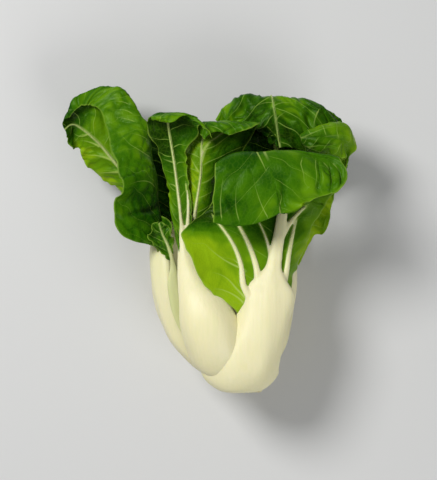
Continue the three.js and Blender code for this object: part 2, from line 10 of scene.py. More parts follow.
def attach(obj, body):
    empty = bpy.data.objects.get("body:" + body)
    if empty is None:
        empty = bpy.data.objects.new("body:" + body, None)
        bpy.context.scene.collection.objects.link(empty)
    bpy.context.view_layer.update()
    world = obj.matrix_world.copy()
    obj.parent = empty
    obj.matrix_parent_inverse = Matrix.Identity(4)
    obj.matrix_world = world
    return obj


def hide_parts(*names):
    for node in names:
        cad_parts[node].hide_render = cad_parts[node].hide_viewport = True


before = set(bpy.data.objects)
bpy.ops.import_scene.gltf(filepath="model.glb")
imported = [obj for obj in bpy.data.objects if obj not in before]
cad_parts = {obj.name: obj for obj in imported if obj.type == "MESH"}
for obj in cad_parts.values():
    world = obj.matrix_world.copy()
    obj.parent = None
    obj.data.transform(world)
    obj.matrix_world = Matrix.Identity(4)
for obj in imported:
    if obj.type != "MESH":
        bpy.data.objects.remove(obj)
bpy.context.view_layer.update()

# ---------------------------------------------------------------------------------------
# Stem core: the short pale stem inside the ring of stalks. It was cut flat across with a
# knife, so its damp face shows the ends of the strands that fed the leaves.

# the head is laid out in millimetres, +X to its right, +Y toward the leaf tips and +Z up,
# and this is where the part's own origin lies in that layout
ORIGIN = np.array([-1.671, -0.014, 1.2])
STEM_X, STEM_Z = 18.5, 40
STEM_STEPS = 72
STEM_ROUNDS = [  # the place of each round along the stem, and its radius
    (-91.35, 4.0), (-91.45, 8.0), (-91.5, 11.2), (-91.1, 12.3), (-90.0, 12.8), (-88.5, 13.9),
    (-85.5, 14.3), (-82.5, 14.0), (-80, 13.2), (-77.5, 11), (-75, 8), (-73.5, 5),
]
STRAND_RINGS = ((11.2, 34), (8.2, 22), (4.6, 11))  # radius, number of strands
STRAND_ENDS = -91.15  # their place along the stem
STRAND_BEAD = 0.00062  # the largest of their beads, in metres
STRAND_UNEVEN = 0.4  # the share by which a bead may be smaller
FLESH_DEEP = 0.003  # how far light goes into the pale tissue, in metres
CUT_COLOURS = [
    (0.30, (0.56, 0.47, 0.22)), (0.50, (0.74, 0.67, 0.38)), (0.72, (0.80, 0.74, 0.46)),
]


def new_material(name):
    material = bpy.data.materials.new(name)
    material.use_nodes = True
    tree = material.node_tree
    tree.nodes.clear()
    out = tree.nodes.new("ShaderNodeOutputMaterial")
    shader = tree.nodes.new("ShaderNodeBsdfPrincipled")
    tree.links.new(shader.outputs["BSDF"], out.inputs["Surface"])
    return material, tree, shader


def ramp(tree, source, stops):
    node = tree.nodes.new("ShaderNodeValToRGB")
    node.color_ramp.interpolation = "EASE"
    while len(node.color_ramp.elements) < len(stops):
        node.color_ramp.elements.new(0.5)
    for element, (place, colour) in zip(node.color_ramp.elements, stops):
        element.position = place
        element.color = (*colour, 1.0)
    tree.links.new(source, node.inputs["Fac"])
    return node.outputs["Color"]


def bump(tree, height, distance, strength, under=None):
    node = tree.nodes.new("ShaderNodeBump")
    node.inputs["Distance"].default_value = distance
    node.inputs["Strength"].default_value = strength
    tree.links.new(height, node.inputs["Height"])
    if under is not None:
        tree.links.new(under, node.inputs["Normal"])
    return node.outputs["Normal"]


def damp_flesh(shader, weight, radius):
    """Light goes some way into the pale tissue and comes out warmer."""
    shader.inputs["Subsurface Weight"].default_value = weight
    shader.inputs["Subsurface Radius"].default_value = radius
    shader.inputs["Subsurface Scale"].default_value = FLESH_DEEP


# soft patches of the plant's tissue, in the stem, the stalks and the blades alike
mottle = bpy.data.node_groups.new("mottle", "ShaderNodeTree")
for socket, kind in (("Fineness", "Float"), ("Stretch", "Vector"), ("Detail", "Float")):
    mottle.interface.new_socket(socket, in_out="INPUT", socket_type="NodeSocket" + kind)
mottle.interface.new_socket("Patches", in_out="OUTPUT", socket_type="NodeSocketFloat")
given = mottle.nodes.new("NodeGroupInput").outputs
given_back = mottle.nodes.new("NodeGroupOutput").inputs
where = mottle.nodes.new("ShaderNodeTexCoord")
stretched = mottle.nodes.new("ShaderNodeMapping")
patches = mottle.nodes.new("ShaderNodeTexNoise")
for source, target in (
    (where.outputs["Object"], stretched.inputs["Vector"]),
    (given["Stretch"], stretched.inputs["Scale"]),
    (stretched.outputs["Vector"], patches.inputs["Vector"]),
    (given["Fineness"], patches.inputs["Scale"]),
    (given["Detail"], patches.inputs["Detail"]),
    (patches.outputs["Fac"], given_back["Patches"]),
):
    mottle.links.new(source, target)


def mottled(tree, fineness, stretch=(1, 1, 1), detail=3.0):
    node = tree.nodes.new("ShaderNodeGroup")
    node.node_tree = mottle
    node.inputs["Fineness"].default_value = fineness
    node.inputs["Stretch"].default_value = stretch
    node.inputs["Detail"].default_value = detail
    return node.outputs["Patches"]


# the damp cut face, blotched cream and tan
cut_stem, tree, shader = new_material("cut_stem")
spot = mottled(tree, 260, detail=5.0)
tree.links.new(ramp(tree, spot, CUT_COLOURS), shader.inputs["Base Color"])
tree.links.new(bump(tree, spot, distance=0.0005, strength=0.25), shader.inputs["Normal"])
shader.inputs["Roughness"].default_value = 0.55
damp_flesh(shader, 0.2, (1.0, 0.8, 0.4))


def placed(points):
    """Points of the layout, in metres in the part's frame."""
    return (np.asarray(points) - ORIGIN) / 1000


def add_object(name, mesh, material, node):
    """A finished piece, in the place of the node it dresses."""
    for polygon in mesh.polygons:
        polygon.use_smooth = True
    mesh.materials.clear()
    mesh.materials.append(material)
    thing = bpy.data.objects.new(name, mesh)
    bpy.context.scene.collection.objects.link(thing)
    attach(thing, "root")
    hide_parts(node)


def skin(name, rings):
    """A closed skin over rings of points, with a point in the middle of each end."""
    rows, n, _ = rings.shape
    ends = np.stack([rings[0].mean(0), rings[-1].mean(0)])
    points = np.vstack([placed(rings.reshape(-1, 3)), placed(ends)])
    faces = []
    for i in range(rows - 1):
        for j in range(n):
            k = (j + 1) % n
            faces.append((i * n + j, i * n + k, (i + 1) * n + k, (i + 1) * n + j))
    top = (rows - 1) * n
    for j in range(n):
        k = (j + 1) % n
        faces.append((k, j, rows * n))
        faces.append((top + j, top + k, rows * n + 1))
    mesh = bpy.data.meshes.new(name)
    mesh.from_pydata(points.tolist(), [], faces)
    mesh.validate()
    return mesh


def run_in(name, meshes):
    """Several closed skins as one mesh, each with its normals outward."""
    joined = bmesh.new()
    for mesh in meshes:
        joined.from_mesh(mesh)
    bmesh.ops.recalc_face_normals(joined, faces=joined.faces)
    whole = bpy.data.meshes.new(name)
    joined.to_mesh(whole)
    joined.free()
    return whole


def growth(name, *sockets):
    """A Geometry Nodes tree with named inputs; what it is given and what it gives back."""
    tree = bpy.data.node_groups.new(name, "GeometryNodeTree")
    for socket, kind in (*sockets, ("Material", "Material")):
        tree.interface.new_socket(socket, in_out="INPUT", socket_type="NodeSocket" + kind)
    tree.interface.new_socket("Result", in_out="OUTPUT", socket_type="NodeSocketGeometry")
    given = tree.nodes.new("NodeGroupInput").outputs
    return tree, given, tree.nodes.new("NodeGroupOutput").inputs


def step(tree, kind, settings=(), **inputs):
    """A node with its settings, and its inputs fixed or linked by their names."""
    node = tree.nodes.new(kind)
    for key, value in dict(settings).items():
        setattr(node, key, value)
    for name, value in inputs.items():
        socket = next(s for s in node.inputs if s.enabled and s.name == name.replace("_", " "))
        if isinstance(value, bpy.types.NodeSocket):
            tree.links.new(value, socket)
        else:
            socket.default_value = value
    return next(s for s in node.outputs if s.enabled)


def reckon(tree, operation, a, b):
    """One step of arithmetic inside a tree on two values, each a number or a socket."""
    node = tree.nodes.new("ShaderNodeMath")
    node.operation = operation
    for socket, value in zip(node.inputs, (a, b)):
        if isinstance(value, bpy.types.NodeSocket):
            tree.links.new(value, socket)
        else:
            socket.default_value = value
    return node.outputs["Value"]


def end_growth(tree, shape, given, result):
    """What the tree made becomes real faces in the material it was given."""
    real = step(tree, "GeometryNodeRealizeInstances", Geometry=shape)
    coloured = step(
        tree, "GeometryNodeSetMaterial", Geometry=real, Material=given["Material"])
    tree.links.new(coloured, result["Result"])


def grown(name, mesh, tree, **sizes):
    """The plain mesh that a tree grows on a mesh, with these sizes."""
    thing = bpy.data.objects.new(name, mesh)
    bpy.context.scene.collection.objects.link(thing)
    modifier = thing.modifiers.new(name, "NODES")
    modifier.node_group = tree
    for item in tree.interface.items_tree:
        if item.in_out == "INPUT" and item.name in sizes:
            modifier[item.identifier] = sizes[item.name]
    depsgraph = bpy.context.evaluated_depsgraph_get()
    made = bpy.data.meshes.new_from_object(thing.evaluated_get(depsgraph))
    thing.modifiers.clear()
    bpy.data.objects.remove(thing)
    return made


# the ends of the strands stand a little proud of the cut face
strands, given, result = growth(
    "strands", ("Places", "Geometry"), ("Bead", "Float"), ("Unevenness", "Float"),
    ("Seed", "Int"))
bead = step(strands, "GeometryNodeMeshIcoSphere", Radius=given["Bead"], Subdivisions=2)
least = reckon(strands, "SUBTRACT", 1.0, given["Unevenness"])
share_of_bead = step(
    strands, "FunctionNodeRandomValue", {"data_type": "FLOAT"}, Min=least, Max=1.0,
    Seed=given["Seed"])
beads = step(
    strands, "GeometryNodeInstanceOnPoints", Points=given["Places"], Instance=bead,
    Scale=share_of_bead)
end_growth(strands, beads, given, result)

places = []
for radius, count in STRAND_RINGS:
    for k in range(count):
        angle = 2 * math.pi * (k + 0.3 * math.sin(7 * k)) / count
        out = radius + 0.6 * math.sin(5 * k + radius)
        places.append(
            (STEM_X + out * math.cos(angle), STRAND_ENDS, STEM_Z + out * math.sin(angle)))
strand_places = bpy.data.meshes.new("strand places")
strand_places.from_pydata(placed(places).tolist(), [], [])
strand_ends = grown(
    "strand ends", strand_places, strands, Bead=STRAND_BEAD, Unevenness=STRAND_UNEVEN,
    Seed=5, Material=cut_stem)

turn = np.linspace(0, 2 * math.pi, STEM_STEPS, endpoint=False)
core_rings = []
for place, radius in STEM_ROUNDS:
    lumpy = radius * (1 + 0.025 * np.sin(5 * turn + place) + 0.015 * np.sin(11 * turn))
    dip = 0.25 * np.sin(3 * turn + radius)
    core_rings.append(np.stack(
        [STEM_X + lumpy * np.cos(turn), place + dip, STEM_Z + lumpy * np.sin(turn)], 1)[::-1])
stem = skin("stem", np.array(core_rings))
core_mesh = run_in("stem_core_dressed", [stem, strand_ends])
add_object("stem_core_dressed", core_mesh, cut_stem, "stem_core")

# ---------------------------------------------------------------------------------------
# Stalks: each leaf grows from the stem along a spine of numbered stations. Its thick white
# flesh is a crescent that thins to the midrib, and the main side ribs are run into it.
FULLNESS = 1.9  # how thick a stalk is at its middle, for the root of its half width
MIDRIB_STANDS = 0.75  # how far the midrib stands out of the blade, for the same root
STALK_ROWS, STALK_STEPS = 120, 30  # rings up a stalk, and steps across one face of it
BASE_CUT = -88.0  # where the leaf bases were cut with the stem
CUT_EDGE = 0.0034  # the soft edge of that cut, in metres
SOFT_REST = 0.8  # how softly a leaf is pressed up by what the head lies on
RIB_SIDES, RIB_FLATNESS = 14, 0.75
RIB_ROOT = 1.1  # how deep a rib starts in the stalk
INNER_SKIN, RIB_SKIN = 0.0015, 0.0012  # reach of the hollow's and the ribs' green, in metres
FLESH_COLOURS = [
    (0.00, (0.800, 0.745, 0.455)),
    (0.08, (0.820, 0.765, 0.465)),
    (0.22, (0.830, 0.775, 0.480)),
    (0.40, (0.790, 0.755, 0.440)),
    (0.60, (0.640, 0.660, 0.310)),
    (0.80, (0.400, 0.480, 0.150)),
    (1.00, (0.200, 0.320, 0.050)),
]
HOLLOW_GREEN = (0.58, 0.62, 0.26)
STREAK_GREEN = (0.70, 0.72, 0.36)
CLOUD_WHITE = (0.90, 0.87, 0.62)


def attribute(tree, name):
    node = tree.nodes.new("ShaderNodeAttribute")
    node.attribute_name = name
    return node.outputs["Fac"]


def reckon_share(tree, operation, a, b):
    """The same, held between 0 and 1."""
    value = reckon(tree, operation, a, b)
    value.node.use_clamp = True
    return value


def mix_colour(tree, factor, a, b):
    node = tree.nodes.new("ShaderNodeMix")
    node.data_type = "RGBA"
    for socket, value in ((node.inputs[0], factor), (node.inputs[6], a), (node.inputs[7], b)):
        if isinstance(value, tuple):
            socket.default_value = (*value, 1.0)
        else:
            tree.links.new(value, socket)
    return node.outputs[2]


# cream at the belly, greener up the ribs and inside the hollow of the stalk
stalk_flesh, tree, shader = new_material("stalk_flesh")
flesh = ramp(tree, attribute(tree, "climb"), FLESH_COLOURS)
hollow = reckon(tree, "MULTIPLY", attribute(tree, "inner"), 0.30)
flesh = mix_colour(tree, hollow, flesh, HOLLOW_GREEN)
streak = mottled(tree, 1.0, stretch=(620, 30, 620), detail=4.0)
streaked = reckon_share(tree, "MULTIPLY", reckon_share(tree, "SUBTRACT", streak, 0.45), 0.9)
flesh = mix_colour(tree, streaked, flesh, STREAK_GREEN)
cloud = mottled(tree, 38, detail=2.0)
clouded = reckon_share(tree, "MULTIPLY", reckon_share(tree, "SUBTRACT", cloud, 0.5), 0.8)
flesh = mix_colour(tree, clouded, flesh, CLOUD_WHITE)
tree.links.new(flesh, shader.inputs["Base Color"])
fine = bump(tree, streak, distance=0.0006, strength=0.30)
uneven = mottled(tree, 90, detail=2.0)
uneven = bump(tree, uneven, distance=0.0012, strength=0.16, under=fine)
tree.links.new(uneven, shader.inputs["Normal"])
shader.inputs["Roughness"].default_value = 0.42
shader.inputs["Specular IOR Level"].default_value = 0.30
damp_flesh(shader, 0.25, (1.0, 0.85, 0.45))

# ribs: round cords along the lines laid for them, flattened toward the blade
ribs, given, result = growth(
    "ribs", ("Lines", "Geometry"), ("Sides", "Int"), ("Flatness", "Float"),
    ("Girth", "Float"))
line = step(ribs, "GeometryNodeMeshToCurve", Mesh=given["Lines"])
back = step(
    ribs, "GeometryNodeInputNamedAttribute", {"data_type": "FLOAT_VECTOR"}, Name="back")
line = step(ribs, "GeometryNodeSetCurveNormal", {"mode": "FREE"}, Curve=line, Normal=back)
circle = step(
    ribs, "GeometryNodeCurvePrimitiveCircle", Resolution=given["Sides"], Radius=1.0)
squash = step(ribs, "ShaderNodeCombineXYZ", X=given["Flatness"], Y=1.0, Z=1.0)
circle = step(ribs, "GeometryNodeTransform", Geometry=circle, Scale=squash)
size = step(ribs, "GeometryNodeInputNamedAttribute", {"data_type": "FLOAT"}, Name="size")
cord = step(
    ribs, "GeometryNodeCurveToMesh", Curve=line, Profile_Curve=circle,
    Scale=reckon(ribs, "MULTIPLY", size, given["Girth"]), Fill_Caps=True)
end_growth(ribs, cord, given, result)


def through(keys, at):
    """Smooth values at each of at, through keyed rows [place, values...]."""
    k = np.array(keys, float)
    x, y = k[:, 0], k[:, 1:]
    gap = np.diff(x)[:, None]
    rise = np.diff(y, axis=0) / gap
    slope = np.empty_like(y)
    if len(x) == 2:
        slope[:] = rise[0]
    else:
        slope[1:-1] = (rise[:-1] * gap[1:] + rise[1:] * gap[:-1]) / (gap[1:] + gap[:-1])
        slope[0] = 1.5 * rise[0] - 0.5 * slope[1]
        slope[-1] = 1.5 * rise[-1] - 0.5 * slope[-2]
    at = np.clip(np.asarray(at, float), x[0], x[-1])
    i = np.clip(np.searchsorted(x, at, side="right") - 1, 0, len(x) - 2)
    h = gap[i]
    q = (at - x[i])[:, None] / h
    start = (1 + 2 * q) * (1 - q) ** 2 * y[i] + q * (1 - q) ** 2 * h * slope[i]
    end = q * q * (3 - 2 * q) * y[i + 1] + q * q * (q - 1) * h * slope[i + 1]
    return start + end


def unit(v):
    return v / np.maximum(np.linalg.norm(v, axis=-1, keepdims=True), 1e-9)


def frames(leaf, u):
    """Place on the spine at each station, the ways along and across, and inward."""
    spine = [[i, *point] for i, point in enumerate(leaf["spine"])]
    last = len(spine) - 1
    place = through(spine, u)
    ahead = through(spine, np.minimum(u + 0.001, last))
    along = unit(ahead - through(spine, np.maximum(u - 0.001, 0)))
    way = through(leaf["across"], u)
    across = unit(way - (way * along).sum(1, keepdims=True) * along)
    return place, along, across, np.cross(along, across)


def half_sheet(leaf, u, side, v):
    """One half of the blade's middle sheet, a row for each u and a column for each v.

    A margin row holds a station, a place, and how far the sheet reaches out, is lifted and
    slips along on its way from the spine to that place.
    """
    place, along, across, inward = frames(leaf, u)
    margin = leaf["plus"] if side > 0 else leaf["minus"]
    m = through([(row + [0, 0, 0])[:7] for row in margin], u)
    edge = m[:, :3]
    wide = np.linalg.norm(edge - place, axis=1)
    reach = np.where(np.abs(m[:, 3]) < 0.01, wide / 2, m[:, 3])
    bend = place + side * across * reach[:, None] + inward * m[:, 4:5] + along * m[:, 5:6]
    w = v[None, :, None]
    return (1 - w) ** 2 * place[:, None] + 2 * w * (1 - w) * bend[:, None] + w * w * edge[:, None]


def wave_height(leaf, u, share, side):
    """How far the blade's wave lifts it at a share of the way to its margin."""
    depth = through(leaf["wave"], u.ravel()).reshape(u.shape)
    return depth * share ** 1.6 * np.sin(2 * math.pi * u * leaf["rate"] + side * 1.3)


def rib_path(leaf, rib, count=36):
    """Points of a rib through three places on the blade, its inward way and its radius."""
    side, u0, v0, u1, v1, u2, v2, r0, r1 = rib
    q = np.linspace(0, 1, count)
    first, middle, final = (1 - q) * (1 - 2 * q), 4 * q * (1 - q), q * (2 * q - 1)
    u = first * u0 + middle * u1 + final * u2
    v = np.clip(first * v0 + middle * v1 + final * v2, 0, 1)

    def spots(on, out):
        return np.array([
            half_sheet(leaf, np.array([a + on]), side, np.array([b + out]))[0, 0]
            for a, b in zip(u, v)])

    here = spots(0, 0)
    inward = unit(np.cross(spots(0.02, 0) - here, spots(0, 0.02) - here)) * side
    height = wave_height(leaf, u, v, side)
    return here + inward * height[:, None], inward, r0 + (r1 - r0) * q


def rest(height, least):
    """Heights pressed up softly where they would sink into what the head lies on."""
    low = ORIGIN[2] + least
    pressed = low + SOFT_REST * np.exp((height - low - SOFT_REST) / SOFT_REST)
    return np.where(height < low + SOFT_REST, pressed, height)


def nearest(places, points):
    """Which place is nearest to each point, and how far off it is."""
    tree = KDTree(len(places))
    for i, place in enumerate(places):
        tree.insert(place, i)
    tree.balance()
    found = [tree.find(point)[1:] for point in points]
    return [np.array(part) for part in zip(*found)]


def store(mesh, **layers):
    """Keep a number for each vertex under a name that the material reads."""
    for name, values in layers.items():
        layer = mesh.attributes.new(name, "FLOAT", "POINT")
        layer.data.foreach_set("value", np.ravel(values).astype(np.float32))


def stalk_rings(leaf, u):
    """Rings round the crescent of the stalk: the outer face, then the inner one back."""
    place, _, across, inward = frames(leaf, u)
    half = np.maximum(through(leaf["half_width"], u)[:, 0], 0.4)[:, None]
    turn = np.radians(np.maximum(through(leaf["cup"], u)[:, 0], 0.01))[:, None]
    # up the blade the midrib stands out on the outer face only
    up_blade = np.clip((u[:, None] - leaf["plus"][0][0] - 0.8) / 1.5, 0, 1)
    place = place - inward * (MIDRIB_STANDS * np.sqrt(half) * up_blade)
    sigma = -np.cos(math.pi * np.arange(STALK_STEPS + 1) / STALK_STEPS)[None]
    angle = turn * np.abs(sigma)
    radius = half / turn
    sideways, lifted = radius * np.sin(angle), radius * (1 - np.cos(angle))
    faces = []
    for sign in (-1, 1):
        crescent = np.sqrt(np.maximum(1 - np.abs(sigma) ** 2.2, 0))
        t = sign * FULLNESS * np.sqrt(half) * crescent / 2
        t = t * (1 + 0.05 * np.cos(9 * sigma + u[:, None]))
        out = np.sign(sigma) * (sideways - t * np.sin(angle))
        p = place[:, None] + across[:, None] * out[..., None]
        faces.append(p + inward[:, None] * (lifted + t * np.cos(angle))[..., None])
    return np.concatenate([faces[0], faces[1][:, -2:0:-1]], axis=1)


def rib_cords(name, leaf):
    """The ribs' closed cords, with the points, sizes and greenness of their lines."""
    lines, ways, sizes, greens = [], [], [], []
    for rib in leaf["ribs"]:
        path, back, size = rib_path(leaf, rib)
        # the root of a rib sinks into the stalk
        sink = 0.35 * size - RIB_ROOT * np.exp(-np.linspace(0, 16, len(size)))
        lines.append(path - back * sink[:, None])
        ways.append(back)
        sizes.append(size / 1000)
        greens.append(np.linspace(*leaf["rib_green"], len(path)))
    ends = np.cumsum([len(path) for path in lines])
    edges = [(i, i + 1) for i in range(ends[-1] - 1) if i + 1 not in ends]
    points, sizes = placed(np.concatenate(lines)), np.concatenate(sizes)
    laid = bpy.data.meshes.new(name)
    laid.from_pydata(points.tolist(), edges, [])
    turned = laid.attributes.new("back", "FLOAT_VECTOR", "POINT")
    turned.data.foreach_set("vector", np.concatenate(ways).astype(np.float32).ravel())
    store(laid, size=sizes)
    cords = grown(
        name, laid, ribs, Sides=RIB_SIDES, Flatness=RIB_FLATNESS, Girth=1.0,
        Material=stalk_flesh)
    return cords, points, sizes, np.concatenate(greens)


def make_stalk(name, leaf):
    """The stalk with its ribs run into one closed skin, and what its material reads."""
    u = np.linspace(0, min(len(leaf["spine"]) - 1.25, leaf["ends"]), STALK_ROWS)
    rings = stalk_rings(leaf, u)
    parts = [skin(name, rings)]
    if leaf["ribs"]:
        cords, rib_points, rib_sizes, rib_greens = rib_cords(name + " ribs", leaf)
        parts.append(cords)
    rough = bpy.data.objects.new(name + " rough", run_in(name, parts))
    bpy.context.scene.collection.objects.link(rough)
    remesh = rough.modifiers.new("run together", "REMESH")
    remesh.mode = "VOXEL"
    remesh.voxel_size = leaf["voxel"] / 1000
    soften = rough.modifiers.new("soften", "SMOOTH")
    soften.factor = 0.5
    soften.iterations = 14
    depsgraph = bpy.context.evaluated_depsgraph_get()
    mesh = bpy.data.meshes.new_from_object(rough.evaluated_get(depsgraph))
    bpy.data.objects.remove(rough)
    mesh.name = name
    points = np.empty(len(mesh.vertices) * 3)
    mesh.vertices.foreach_get("co", points)
    points = points.reshape(-1, 3)
    # the bottom of the head is cut across, with a soft edge
    base = (BASE_CUT - ORIGIN[1]) / 1000
    past = np.maximum(base - points[:, 1], 0)
    points[:, 1] = np.where(past > 0, base - CUT_EDGE * np.tanh(past / CUT_EDGE), points[:, 1])
    points[:, 2] = (rest(1000 * points[:, 2] + ORIGIN[2], 0.02) - ORIGIN[2]) / 1000
    mesh.vertices.foreach_set("co", points.ravel())
    # how far up the leaf each vertex is, and whether it faces the hollow
    near, far = nearest(placed(rings.reshape(-1, 3)), points)
    count = rings.shape[1]
    climb = through(leaf["green"], u)[:, 0][near // count]
    inner = ((near % count > STALK_STEPS) & (far < INNER_SKIN)).astype(float)
    inner *= np.clip((0.7 - climb) * 4, 0, 1)
    if leaf["ribs"]:
        on_rib, off = nearest(rib_points, points)
        nearer = np.clip((far - (off - rib_sizes[on_rib])) / RIB_SKIN + 0.4, 0, 1)
        climb = climb + (rib_greens[on_rib] - climb) * nearer
    store(mesh, climb=climb, inner=inner)
    return mesh


# ---------------------------------------------------------------------------------------
# Blades: thin green sheets between two margins, grown out of the midrib. They are puckered
# between their veins, folded where the head is packed tight and waved at the edge.
BLADE_THICK, MARGIN_THIN = 0.62, 0.34  # at the middle, and how much less at the margin
SIDE_VEINS_OUT, MAIN_VEINS_OUT = 0.35, 0.55  # how far the veins stand out of the outer face
VEIN_LEAN, VEIN_CURVE = 0.75, 0.0045  # how side veins sweep toward the tip
VEIN_WANDER = 0.16  # how far they stray, for the spacing between them
VEIN_FINE, VEIN_GROWS = 0.25, 0.5  # half width at the margin, and how much more at the midrib
TROUGH_WIDE, TROUGH_DEEP = 1.8, 0.35  # the dips along the side veins
CREASE_DEEP, FRILL_LONG, MARGIN_NIBBLE = 1.7, 11.0, 0.35
SWELL_SHORT, SWELL_LONG = 9, 26  # the lengths of the soft waves in a blade
FAR_OFF = 9.0  # stands for no vein near by
# the greens along the tone; its dark end also serves as painted shade and its bright end as
# painted light
LEAF_COLOURS = [
    (0.00, (0.0025, 0.022, 0.0003)),
    (0.22, (0.010, 0.066, 0.0005)),
    (0.45, (0.037, 0.134, 0.001)),
    (0.70, (0.102, 0.240, 0.002)),
    (1.00, (0.250, 0.412, 0.005)),
]
NET_GREEN = (0.12, 0.27, 0.005)
OUTER_GREEN = (0.12, 0.24, 0.004)
SIDE_VEIN_GREEN = (0.30, 0.46, 0.070)
MAIN_VEIN_GREEN = (0.40, 0.54, 0.11)
MIDRIB_GREEN = (0.40, 0.52, 0.13)
# a paler margin, partly a painted highlight along the leaf's edge
RIM_GREEN_AND_HIGHLIGHT = (0.27, 0.42, 0.045)


def vein_line(tree, off, wide):
    """1 on the middle of a vein to 0 at its edge, from the distance to it and its width."""
    away = reckon(tree, "ABSOLUTE", attribute(tree, off), 0.0)
    width = reckon(tree, "MAXIMUM", attribute(tree, wide), 0.02)
    return reckon_share(tree, "SUBTRACT", 1.25, reckon(tree, "DIVIDE", away, width))


# green that is patchy and glossy, with its veins drawn paler; how dark it is follows the blade's
# stored tone, partly the leaf's own green and partly painted light and shade
leaf_blade, tree, shader = new_material("leaf_blade")
patch = reckon(tree, "SUBTRACT", mottled(tree, 34, detail=4.0), 0.5)
patch = reckon(tree, "MULTIPLY", patch, 0.62)
tone = reckon(tree, "ADD", attribute(tree, "tone"), patch)
green = ramp(tree, tone, LEAF_COLOURS)
# the finest veins form a net, drawn on the blade's flat map
flat_map = tree.nodes.new("ShaderNodeUVMap")
flat_map.uv_map = "flat"
spread = tree.nodes.new("ShaderNodeMapping")
spread.inputs["Scale"].default_value = (42.0, 42.0, 1.0)
tree.links.new(flat_map.outputs["UV"], spread.inputs["Vector"])
net = tree.nodes.new("ShaderNodeTexVoronoi")
net.feature = "DISTANCE_TO_EDGE"
net.inputs["Scale"].default_value = 1.0
tree.links.new(spread.outputs["Vector"], net.inputs["Vector"])
thread = reckon(tree, "MULTIPLY", net.outputs["Distance"], 6.0)
thread = reckon(tree, "POWER", reckon_share(tree, "SUBTRACT", 1.0, thread), 2.0)
side_vein = vein_line(tree, "side_off", "side_wide")
strong = reckon_share(tree, "MULTIPLY", attribute(tree, "drawn_wide"), 1.15)
main_vein = reckon(
    tree, "MULTIPLY", vein_line(tree, "drawn_off", "drawn_wide"),
    reckon(tree, "MINIMUM", strong, 0.80))
for mask, share, colour in (
    (thread, 0.14, NET_GREEN),
    (attribute(tree, "under"), 0.05, OUTER_GREEN),
    (side_vein, 0.62, SIDE_VEIN_GREEN),
    (main_vein, 1.00, MAIN_VEIN_GREEN),
    (attribute(tree, "rib"), 0.80, MIDRIB_GREEN),
    (attribute(tree, "rim"), 0.50, RIM_GREEN_AND_HIGHLIGHT),
):
    green = mix_colour(tree, reckon(tree, "MULTIPLY", mask, share), green, colour)
tree.links.new(green, shader.inputs["Base Color"])
grain = reckon(tree, "SUBTRACT", 1.0, thread)
grain = bump(tree, grain, distance=0.0003, strength=0.20)
uneven = mottled(tree, 160)
uneven = bump(tree, uneven, distance=0.0005, strength=0.14, under=grain)
tree.links.new(uneven, shader.inputs["Normal"])
shader.inputs["Roughness"].default_value = 0.34
shader.inputs["Specular IOR Level"].default_value = 0.10
shader.inputs["Specular Tint"].default_value = (0.80, 1.0, 0.50, 1)


def sheet_normals(sheet):
    """The way each place of a sheet faces, toward the inner side of its leaf."""
    return unit(np.cross(np.gradient(sheet, axis=0), np.gradient(sheet, axis=1)))


def swell(p, seed):
    """Soft sums of waves over flat places in millimetres, from about -1 to 1."""
    rng = np.random.default_rng(seed)
    total = np.zeros(p.shape[:-1])
    for _ in range(9):
        length = rng.uniform(SWELL_SHORT, SWELL_LONG)
        way = rng.uniform(0, 2 * math.pi)
        start = rng.uniform(0, 2 * math.pi)
        on = p[..., 0] * math.cos(way) + p[..., 1] * math.sin(way)
        total += np.sin(2 * math.pi * on / length + start)
    return total / 5


def puckers(p, size, seed):
    """How deep each flat place lies in its pucker, 0 at the wall to about 1 in the middle."""
    rng = np.random.default_rng(seed)
    low, high = p.reshape(-1, 2).min(0) - size, p.reshape(-1, 2).max(0) + size
    rows = np.arange(low[0], high[0], size)
    gx, gy = np.meshgrid(rows, np.arange(low[1], high[1], size), indexing="ij")
    middles = np.stack([gx.ravel(), gy.ravel()], 1)
    middles = middles + rng.uniform(-0.38, 0.38, (gx.size, 2)) * size
    tree = KDTree(len(middles))
    for i, (x, y) in enumerate(middles):
        tree.insert((x, y, 0.0), i)
    tree.balance()
    deep = np.empty(p.reshape(-1, 2).shape[0])
    for i, (x, y) in enumerate(p.reshape(-1, 2)):
        near = tree.find_n((x, y, 0.0), 2)
        deep[i] = near[1][2] - near[0][2]
    return np.clip(deep.reshape(p.shape[:-1]) / (0.62 * size), 0, 1)


def main_veins(leaf, sheet):
    """The drawn veins: signed distance, width, how they stand out and how they draw in."""
    off = np.full(sheet.shape[:2], FAR_OFF)
    wide, body, drawn = (np.zeros(sheet.shape[:2]) for _ in range(3))
    for k, rib in enumerate(leaf["ribs"] + leaf["veins"]):
        is_rib = k < len(leaf["ribs"])
        path, back, size = rib_path(leaf, rib)
        along = unit(np.gradient(path, axis=0))
        gap = sheet[:, :, None] - path[None, None]
        near = np.linalg.norm(gap, axis=3).argmin(axis=2)
        gap = np.take_along_axis(gap, near[:, :, None, None], axis=2)[:, :, 0]
        forward = (gap * along[near]).sum(-1, keepdims=True)
        inside = (near > 0) & (near < len(path) - 1)
        gap = gap - np.where(inside[..., None], along[near] * forward, 0)
        d = np.linalg.norm(gap, axis=2)
        on_left = (np.cross(along[near], gap) * back[near]).sum(-1) < 0
        signed = d * np.where(on_left, -1, 1)
        size = size[near]
        fade = 1.0 if is_rib else np.sqrt(np.clip(1.05 - near / (len(path) - 1), 0, 1))
        closer = np.abs(signed) < np.abs(off)
        off = np.where(closer, signed, off)
        wide = np.where(closer, (0.20 + size) * fade, wide)
        stands = np.exp(-((d / (1.5 * size + 0.4)) ** 2)) * np.clip(size, 0, 1.5) * fade
        body = np.maximum(body, stands * (0.35 if is_rib else 1.0))
        if not is_rib:
            drawn = np.maximum(drawn, np.exp(-((d / 2.2) ** 2)) * fade)
    wide = wide * np.clip((3.5 - np.abs(off)) / 1.5, 0, 1)
    return np.clip(off, -4, 4), wide, body, drawn


